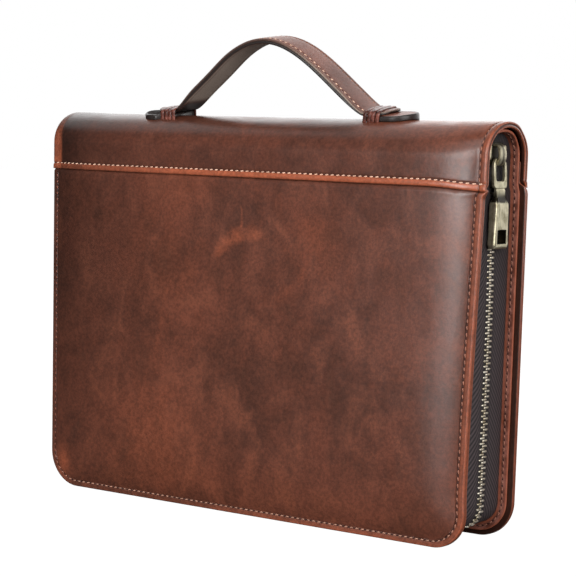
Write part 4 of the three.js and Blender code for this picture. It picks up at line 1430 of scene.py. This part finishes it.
# Half of the strap's section, from the middle of its top to the crease between its two layers: the
# distance from its edge, the height, and how much of the edge paint it has. Where the strap narrows,
# distances shrink with it
STRAP_ROWS = (
    {"from_edge": 9.5, "height": 1.55, "paint": 0.0},
    {"from_edge": 6.0, "height": 1.53, "paint": 0.0},
    {"from_edge": 3.2, "height": 1.47, "paint": 0.0},
    {"from_edge": 2.6, "height": 1.4, "paint": 0.0},
    {"from_edge": 2.3, "height": 1.28, "paint": 0.2},
    {"from_edge": 2.1, "height": 1.22, "paint": 0.4},
    {"from_edge": 1.9, "height": 1.28, "paint": 0.2},
    {"from_edge": 1.5, "height": 1.4, "paint": 0.0},
    {"from_edge": 0.8, "height": 1.4, "paint": 0.0},
    {"from_edge": 0.3, "height": 1.28, "paint": 0.4},
    {"from_edge": 0.05, "height": 1.0, "paint": 1.0},
    {"from_edge": 0.0, "height": 0.65, "paint": 1.0},
    {"from_edge": 0.05, "height": 0.25, "paint": 1.0},
    {"from_edge": 0.28, "height": 0.0, "paint": 1.0},
)


def strap_part():
    """The strap: a section of two layers with painted edges carried square along its arch, and closed at
    its round ends by drawing the last section together."""
    ends = TONGUE_END - (TONGUE_END - HANDLE_HALF_SPAN) * np.linspace(0, 1, 14) ** 2
    x = np.concatenate([-ends, np.linspace(-HANDLE_HALF_SPAN, HANDLE_HALF_SPAN, 90)[1:-1], ends[::-1]])
    middle, normal = strap_line(x)
    rows = np.array([[row["from_edge"], row["height"], row["paint"]] for row in STRAP_ROWS])
    upper = np.concatenate([rows, rows[-2::-1] * [1, -1, 1]])
    from_edge, height, paint = upper.T
    half = strap_half_width(x)[:, None]
    reach = np.maximum(half - from_edge, half * (1 - from_edge / (STRAP_WIDTH / 2)) * 0.9)
    side = np.concatenate([reach, -reach[:, -2:0:-1]], axis=1)
    level = np.concatenate([height, height[-2:0:-1]])[None, :] + 0 * side
    painted = np.concatenate([paint, paint[-2:0:-1]])[None, :] + 0 * side
    bare = lerp(0.3, 0.9, smoothstep(x, 5.0, 32.0))[:, None]
    bare_edge = bare * smoothstep(level, 0.1, 0.4) * painted
    under = smoothstep(-level, 1.1, 1.3) * (1 - painted)
    # Painted shade: near the strap's feet its underside takes the black edge paint
    foot = smoothstep(np.abs(x), 48.5, 53.0)[:, None]
    flesh = np.maximum(under * (1 - foot), bare_edge)
    painted = np.maximum(painted * (1 - bare_edge), under * foot)
    high = level * (strap_thickness(x) / STRAP_THICK)[:, None]
    high = np.concatenate([0 * high[:1], high, 0 * high[:1]])
    rows = np.concatenate([[0], np.arange(len(x)), [len(x) - 1]])
    sideways = points_of(0.0, side[rows], 0.0)
    points = handle_place(middle[rows][:, None] + sideways + high[..., None] * normal[rows][:, None])
    rub = np.broadcast_to(0.3 * bell(x, 30)[:, None], side.shape)
    layers = {"paint": painted[rows].ravel(), "flesh": flesh[rows].ravel(), "rub": rub[rows].ravel()}
    return grid_part(points, close_columns=True), layers


def strap_stitch_lines():
    """The strap's stitch lines on its top: pale along its front edge, rust along its back edge."""
    x = np.linspace(-TONGUE_END + 4, TONGUE_END - 4, 900)
    middle, normal = strap_line(x)
    lines = []
    for edge, tone in ((-1, 1.0), (1, 0.2)):
        across = edge * (strap_half_width(x) - STRAP_STITCH)
        inside = middle + points_of(0.0, across, 0.0) + (strap_thickness(x)[:, None] / 2 - 0.12) * normal
        path = handle_place(inside)
        lines.append((path, unit(handle_place(inside + normal) - path), tone))
    return lines


TAB_ROUND = 0.7
# The handle's left end, -1, and right end, 1: how much shorter its tab is, in millimetres, and how far
# the front of the tab's free end, and of the thong and the tab under it, is stretched over the spine
TAB_SHORT = {-1: 3.0, 1: 0.0}
TAB_STRETCH = {-1: 1.42, 1: 1.0}
FRONT_STRETCH = {-1: 1.22, 1: 1.0}


def tab_part(sign):
    """A tab: rings of a half-round outline from the middle of its underside, which follows the spine, round
    its thick painted edge, to the middle of its top. The left tab is dark all over: its top is painted
    black as shade, and matt."""
    half, length = STRAP_WIDTH / 2, TAB_OUTER - TAB_INNER - TAB_SHORT[sign]
    turn = np.linspace(0, np.pi / 2, 5)
    draw, rise = TAB_ROUND * (1 - np.sin(turn)), TAB_ROUND * (1 - np.cos(turn))
    inset = np.concatenate([[half, 4.0, 1.6], draw, draw[::-1], [1.3, 1.9, 4.0, half]])[:, None]
    height = np.concatenate([[0, 0, 0], rise, (TAB_THICK - rise)[::-1], np.full(4, TAB_THICK)])[:, None]
    around = np.linspace(0, 1, 36)
    arc = np.linspace(-np.pi / 2, np.pi / 2, 40)
    size = half - inset
    along = np.concatenate([
        lerp(inset, length - half, around[None, :-1]),
        length - half + size * np.cos(arc)[None, :],
        lerp(length - half, inset, around[None, 1:]),
    ], axis=1)
    across = np.concatenate([
        -size + 0 * around[None, :-1], size * np.sin(arc)[None, :], size + 0 * around[None, 1:]
    ], axis=1)
    free_end = smoothstep(TAB_INNER + along, WRAP_CENTRE, WRAP_END)
    bulb = lerp(FRONT_STRETCH[sign], TAB_STRETCH[sign], free_end)
    across = across * np.where(across < 0, bulb, 1.0)
    level = lerp(spine_below(across), TAB_THICK, height / TAB_THICK)
    points = handle_place(points_of(sign * (TAB_INNER + along), across, level))
    # Painted shade: the left tab's top takes the black edge paint
    top = [0.4, 0.0, 0.0, 0.0] if sign > 0 else [1.0, 1.0, 1.0, 1.0]
    paint = np.concatenate([np.ones(3 + 2 * len(turn)), top])[:, None] + 0 * along
    matt = np.concatenate([np.zeros(3 + 2 * len(turn)), np.full(4, float(sign < 0))])[:, None] + 0 * along
    layers = {"paint": paint.ravel(), "flesh": matt.ravel(), "rub": 0.25 * (1 - paint.ravel())}
    return grid_part(points, close_columns=True), layers


# Turns of the thong: how far each is moved along the strap and raised, in millimetres
THONG_TURNS = (
    {"move": 0.0, "raise": 0.1},
    {"move": 0.1, "raise": -0.05},
    {"move": -0.1, "raise": 0.15},
    {"move": 0.05, "raise": 0.0},
)
THONG_BEND = 1.5
# How far each thong slants, as a share of its height, and how far it runs askew across the strap and sits
# nearer the middle of the handle, in millimetres
THONG_SLANTS = {-1: 0.04, 1: 0.2}
THONG_SKEWS = {-1: -3.6, 1: -3.5}
THONG_INWARDS = {-1: 2.6, 1: 0.0}


def thong_part(sign):
    """The thong round one end of the strap: a rounded strip carried over the strap in each turn, from the
    spine in front to the spine behind, with round bends at the strap's two edges. Its turns slant with
    their height, run askew across the strap and rise with it."""
    thick, wide = mm("thong_thickness"), mm("thong_width")
    half_y = STRAP_WIDTH / 2 + SNUG + thick / 2
    top = STRAP_MIDDLE + STRAP_END / 2 + SNUG + thick / 2
    front_y = half_y * FRONT_STRETCH[sign]
    front_foot, back_foot = spine_below(np.array([-front_y, half_y])) - CLEAR
    turn = np.linspace(0, np.pi / 2, 8)[1:]
    bend_y, bend_z = half_y - THONG_BEND * (1 - np.cos(turn)), top - THONG_BEND * (1 - np.sin(turn))
    over = np.linspace(-half_y + THONG_BEND, half_y - THONG_BEND, 15)[1:-1]
    y = np.concatenate([np.full(6, -half_y), -bend_y, over, bend_y[::-1], np.full(6, half_y)])
    z = np.concatenate([
        np.linspace(front_foot, top - THONG_BEND, 6), bend_z, np.full(len(over), top), bend_z[::-1],
        np.linspace(top - THONG_BEND, back_foot, 6),
    ])
    y = y * np.where(y < 0, FRONT_STRETCH[sign], 1.0)
    line, depth = tube_section(wide / 2, thick / 2, 0.75, 12)
    ways = unit(np.gradient(np.stack([y, z], axis=1), axis=0))
    rows = np.concatenate([[0], np.arange(len(y)), [len(y) - 1]])
    open_rows = np.ones((len(rows), 1))
    open_rows[[0, -1]] = 0
    line, depth = line * open_rows, depth * open_rows
    parts = []
    for number, row in enumerate(THONG_TURNS):
        middle = WRAP_CENTRE + WRAP_LENGTH * ((number + 0.5) / len(THONG_TURNS) - 0.5) + row["move"]
        middle = middle - THONG_INWARDS[sign]
        x = sign * middle + THONG_SLANTS[sign] * z + THONG_SKEWS[sign] * (y / half_y + 1) / 2
        lift = row["raise"] + (strap_height(middle) - STRAP_MIDDLE) * smoothstep(z, front_foot, top)
        points = points_of(
            x[rows][:, None] + line,
            y[rows][:, None] - depth * ways[rows][:, 1:2],
            (z + lift)[rows][:, None] + depth * ways[rows][:, 0:1],
        )
        parts.append(grid_part(handle_place(points), close_columns=True))
    return join_parts(*parts)


class CASE_OT_handle(bpy.types.Operator):
    """Build the handle: strap, tabs, thong and stitches"""

    bl_idname = "case.handle"
    bl_label = "Handle"

    def execute(self, context):
        leather = ready("Handle cowhide, waxed with painted edges", strap_leather)
        part, layers = strap_part()
        build_piece("strap", part, leather, ["handle_strap"], layers=layers)
        sew("strap_stitches", strap_stitch_lines())
        lacing = ready("Leather lacing, dyed and waxed", plain_leather, "thong_dark", "thong", 3.0, 0.36)
        for sign, side in ((-1, "left"), (1, "right")):
            part, layers = tab_part(sign)
            build_piece(
                f"tab_{side}", part, leather, [f"handle_tab_{side}"], layers=layers
            )
            build_piece(
                f"thong_{side}", thong_part(sign), lacing, [f"handle_wrap_{side}"]
            )
        return {"FINISHED"}


# Stage

# The camera, in millimetres and degrees, and its focal length as a share of the picture's side
CAMERA = {"place": (609.14, -817.14, 195.0), "yaw": 36.35, "pitch": 4.68, "roll": 1.64, "focal": 2057 / 576}
SENSOR = 36.0


def camera_axes():
    """The camera's right, up and back directions from its yaw, pitch and roll."""
    yaw, pitch, roll = (math.radians(CAMERA[key]) for key in ("yaw", "pitch", "roll"))
    right = np.array([math.cos(yaw), math.sin(yaw), 0.0])
    ahead = np.array(
        [-math.sin(yaw) * math.cos(pitch), math.cos(yaw) * math.cos(pitch), -math.sin(pitch)]
    )
    up = np.cross(right, ahead)
    turned = math.cos(roll) * right + math.sin(roll) * up
    return turned, math.cos(roll) * up - math.sin(roll) * right, -ahead


# Soft boxes, in metres and watts. The key stands straight in front, where only the right shoulders mirror
# it. The fill lights the front from above and the side box the zip. The crest of the spine mirrors the
# back box, the slope in front of it the left box, the handle's strap the box over it, and the zip's metal
# the rim box. They all point at the target
LIGHT_TARGET = (0.0, 0.0, 0.1)
SOFT_BOXES = (
    {"name": "key", "place": (-0.16, -1.6, 0.30), "wide": 0.42, "tall": 1.1, "power": 19.0},
    {"name": "fill", "place": (0.35, -1.2, 1.4), "wide": 2.0, "tall": 1.4, "power": 15.0},
    {"name": "side", "place": (1.25, -0.6, 0.5), "wide": 1.0, "tall": 0.9, "power": 17.0},
    {"name": "back", "place": (-0.5, 1.15, 0.55), "wide": 2.4, "tall": 1.1, "power": 18.0},
    {"name": "left", "place": (-0.9, 0.3, 1.3), "wide": 1.2, "tall": 1.0, "power": 2.6},
    {"name": "over", "place": (0.1, 1.1, 1.25), "wide": 1.2, "tall": 0.8, "power": 2.2},
    {"name": "rim", "place": (0.9, 1.2, 0.15), "wide": 1.2, "tall": 1.2, "power": 4.8},
)


def matrix_of(right, up, back, place):
    """A matrix at a place from its three directions."""
    matrix = np.eye(4)
    matrix[:3] = np.stack([right, up, back, place], axis=1)
    return Matrix(matrix.tolist())


def aimed(place, target):
    """A matrix at a place whose -Z points at a target and whose X is level."""
    back = unit(np.array(place) - np.array(target))
    right = unit(np.cross([0.0, 0.0, 1.0], back))
    return matrix_of(right, np.cross(back, right), back, place)


class CASE_OT_stage(bpy.types.Operator):
    """Build the floor, the soft light and the camera"""

    bl_idname = "case.stage"
    bl_label = "Stage"

    def execute(self, context):
        scene = context.scene
        stage = scene.case_stage
        scene.view_settings.view_transform = "Standard"
        camera = bpy.data.cameras.new("camera")
        camera.sensor_width = SENSOR
        camera.lens = CAMERA["focal"] * SENSOR
        camera.clip_end = 50.0
        view = bpy.data.objects.new("camera", camera)
        view.matrix_world = matrix_of(*camera_axes(), np.array(CAMERA["place"]) * MM)
        scene.collection.objects.link(view)
        scene.camera = view
        for box in SOFT_BOXES:
            lamp = bpy.data.lights.new(box["name"], "AREA")
            lamp.shape = "RECTANGLE"
            lamp.size, lamp.size_y = box["wide"], box["tall"]
            lamp.energy = stage.light * box["power"]
            light = bpy.data.objects.new(box["name"], lamp)
            light.matrix_world = aimed(box["place"], LIGHT_TARGET)
            light.visible_camera = False
            scene.collection.objects.link(light)
        self.make_floor(scene, stage)
        self.make_surroundings(scene, stage)
        return {"FINISHED"}

    def make_floor(self, scene, stage):
        """A wide disc of matt white paper: rings of points about the object, under its feet. It looks
        evenly lit to white, and gives the case a dim light from below."""
        radius = np.linspace(0, stage.floor_radius / MM, 6)[:, None]
        turn = np.arange(64) / 64 * 2 * np.pi
        points, faces = grid_part(
            points_of(radius * np.cos(turn), radius * np.sin(turn), 0 * radius), close_columns=True
        )
        mesh = bpy.data.meshes.new("floor")
        mesh.from_pydata((points * MM).tolist(), [], faces[:, ::-1].tolist())
        material, tree, shader, place = new_material("Seamless paper, matt")
        inputs = {"Vector": place, "Scale": per_mm(3.0), "Detail": 4.0, "Roughness": 0.6}
        tone = {0: add(tree, "TexNoise", inputs), 6: linear("#444444"), 7: linear("#484848")}
        fill(tree, shader, {
            "Base Color": add(tree, "Mix", tone, **COLOURS),
            "Roughness": 0.95,
            "Specular IOR Level": 0.1,
            "Emission Color": linear("#ffffff"),
            "Emission Strength": add(tree, "LightPath", output="Is Camera Ray"),
        })
        mesh.materials.append(material)
        floor = bpy.data.objects.new("floor", mesh)
        scene.collection.objects.link(floor)

    def make_surroundings(self, scene, stage):
        """White surroundings: full white behind the object, and a dimmer even light on it."""
        world = bpy.data.worlds.new("surroundings")
        scene.world = world
        world.use_nodes = True
        tree = world.node_tree
        seen = add(tree, "LightPath", output="Is Camera Ray")
        fill(tree, tree.nodes["Background"], {
            "Color": linear("#ffffff"),
            "Strength": add(tree, "Mix", {0: seen, 2: stage.surroundings, 3: 1.0}),
        })


# Panel and settings


def length(name, description, millimetres):
    return bpy.props.FloatProperty(
        name=name, description=description, default=millimetres * MM, min=0.0, unit="LENGTH", precision=5
    )


def tint(name, description, code):
    return bpy.props.FloatVectorProperty(
        name=name, description=description, default=linear(code)[:3], size=3, subtype="COLOR",
        min=0.0, max=1.0,
    )


class CaseSizes(bpy.types.PropertyGroup):
    """Sizes that can be changed without changing the solids"""

    padding: length("Padding", "How far the padded field stands over the border", 4.2)
    stitch_pitch: length("Stitch pitch", "Distance from one stitch to the next", 3.15)
    stitch_length: length("Stitch length", "Length of the thread that shows in one stitch", 1.95)
    stitch_width: length("Stitch width", "Thickness of the thread", 0.72)
    tooth_pitch: length("Tooth pitch", "Distance from one zip tooth to the next on the same side", 2.58)
    thong_width: length("Thong width", "Width of the thong round the strap's ends", 2.15)
    thong_thickness: length("Thong thickness", "Thickness of the thong round the strap's ends", 0.7)


class CaseColours(bpy.types.PropertyGroup):
    """Colours of the leather, thread, tape and brass"""

    leather_dark: tint("Dark leather", "Darkest clouds of the covers", "#4b2a1f")
    leather: tint("Leather", "Usual tone of the covers", "#663829")
    rust: tint("Rust", "Warm patches where the wax has moved", "#75402c")
    umber: tint("Umber", "Cool patches where the wax lies thick", "#4a342b")
    # Worn leather is also the painted sheen on the band's right crest
    worn: tint("Worn leather", "Leather that is bent or rubbed", "#a05539")
    # The burnished edge colour is the painted shade of the covers and the band: channels, creases, inner
    # faces, the band's lip and the left end
    edge: tint("Burnished edge", "Rolled edges and stitched channels", "#1e110d")
    strap: tint("Strap", "Usual tone of the handle's strap", "#7c4f42")
    strap_dark: tint("Dark strap", "Darker clouds of the handle's strap", "#5d382d")
    flesh: tint("Flesh side", "Bare underside of the strap", "#938579")
    edge_paint: tint("Edge paint", "Paint on the cut edges of the handle", "#241c19")
    facing: tint("Facing", "Leather strip inside the edges", "#a2685a")
    facing_dark: tint("Dark facing", "Darker clouds of that strip", "#56291d")
    thong: tint("Thong", "Leather lacing on the handle", "#7c463a")
    thong_dark: tint("Dark thong", "Darker clouds of the lacing", "#3a1810")
    thread: tint("Thread", "Pale thread on the spine and the handle", "#f0c6ab")
    thread_rust: tint("Rust thread", "Stained thread round the covers", "#8a4a35")
    # Needle holes are flat discs in this colour: painted shade for the holes
    hole: tint("Needle holes", "Dark holes at the ends of the stitches", "#3a160d")
    # The tape's crest colour is a painted lustre and its valley colour painted shade, which also darkens
    # the tape up in the spine and behind the teeth
    tape: tint("Zip tape", "Crests of the zip tape's ribs", "#4a3e40")
    tape_dark: tint("Dark zip tape", "Valleys between the ribs", "#181213")
    brass: tint("Brass", "Brushed faces of the slider and pull", "#ded5b8")
    brass_dark: tint("Dark brass", "Olive tone in the brushed faces", "#8f8668")
    # This colour is also the painted shade on the teeth behind the pull and down the middle of the slider's
    # bail
    tarnish: tint("Tarnish", "Blackened hollows of the slider and pull", "#2b251a")
    teeth: tint("Teeth", "Faces of the zip's teeth", "#fbf2e2")
    teeth_dark: tint("Dark teeth", "Tarnish on the zip's teeth", "#a8946a")


class CaseStage(bpy.types.PropertyGroup):
    """Light and floor round the case"""

    light: bpy.props.FloatProperty(
        name="Light", description="Strength of all the soft boxes", default=1.0, min=0.0
    )
    surroundings: bpy.props.FloatProperty(
        name="Surroundings", description="Strength of the even light from all round", default=0.055, min=0.0
    )
    floor_radius: bpy.props.FloatProperty(
        name="Floor", description="Radius of the floor", default=6.0, min=0.0, unit="LENGTH"
    )


class CASE_PT_panel(bpy.types.Panel):
    """Lists the case's pieces in the order that they are built"""

    bl_idname = "CASE_PT_panel"
    bl_label = "Planner case"
    bl_space_type = "VIEW_3D"
    bl_region_type = "UI"
    bl_category = "Planner case"

    def draw(self, context):
        for operator in PIECES:
            self.layout.operator(operator.bl_idname)
        for group in SETTINGS:
            settings = getattr(context.scene, group)
            for name in settings.__annotations__:
                self.layout.prop(settings, name)


PIECES = (CASE_OT_stage, CASE_OT_covers, CASE_OT_spine, CASE_OT_facing, CASE_OT_zip, CASE_OT_handle)
SETTINGS = {"case_sizes": CaseSizes, "case_colours": CaseColours, "case_stage": CaseStage}


def register():
    for cls in (*SETTINGS.values(), *PIECES, CASE_PT_panel):
        bpy.utils.register_class(cls)
    for name, group in SETTINGS.items():
        setattr(bpy.types.Scene, name, bpy.props.PointerProperty(type=group))


def unregister():
    for name in SETTINGS:
        delattr(bpy.types.Scene, name)
    for cls in (CASE_PT_panel, *reversed(PIECES), *reversed(list(SETTINGS.values()))):
        bpy.utils.unregister_class(cls)


def main():
    register()
    bpy.ops.case.stage()
    bpy.ops.case.covers()
    bpy.ops.case.spine()
    bpy.ops.case.facing()
    bpy.ops.case.zip()
    bpy.ops.case.handle()


if __name__ == "__main__":
    main()
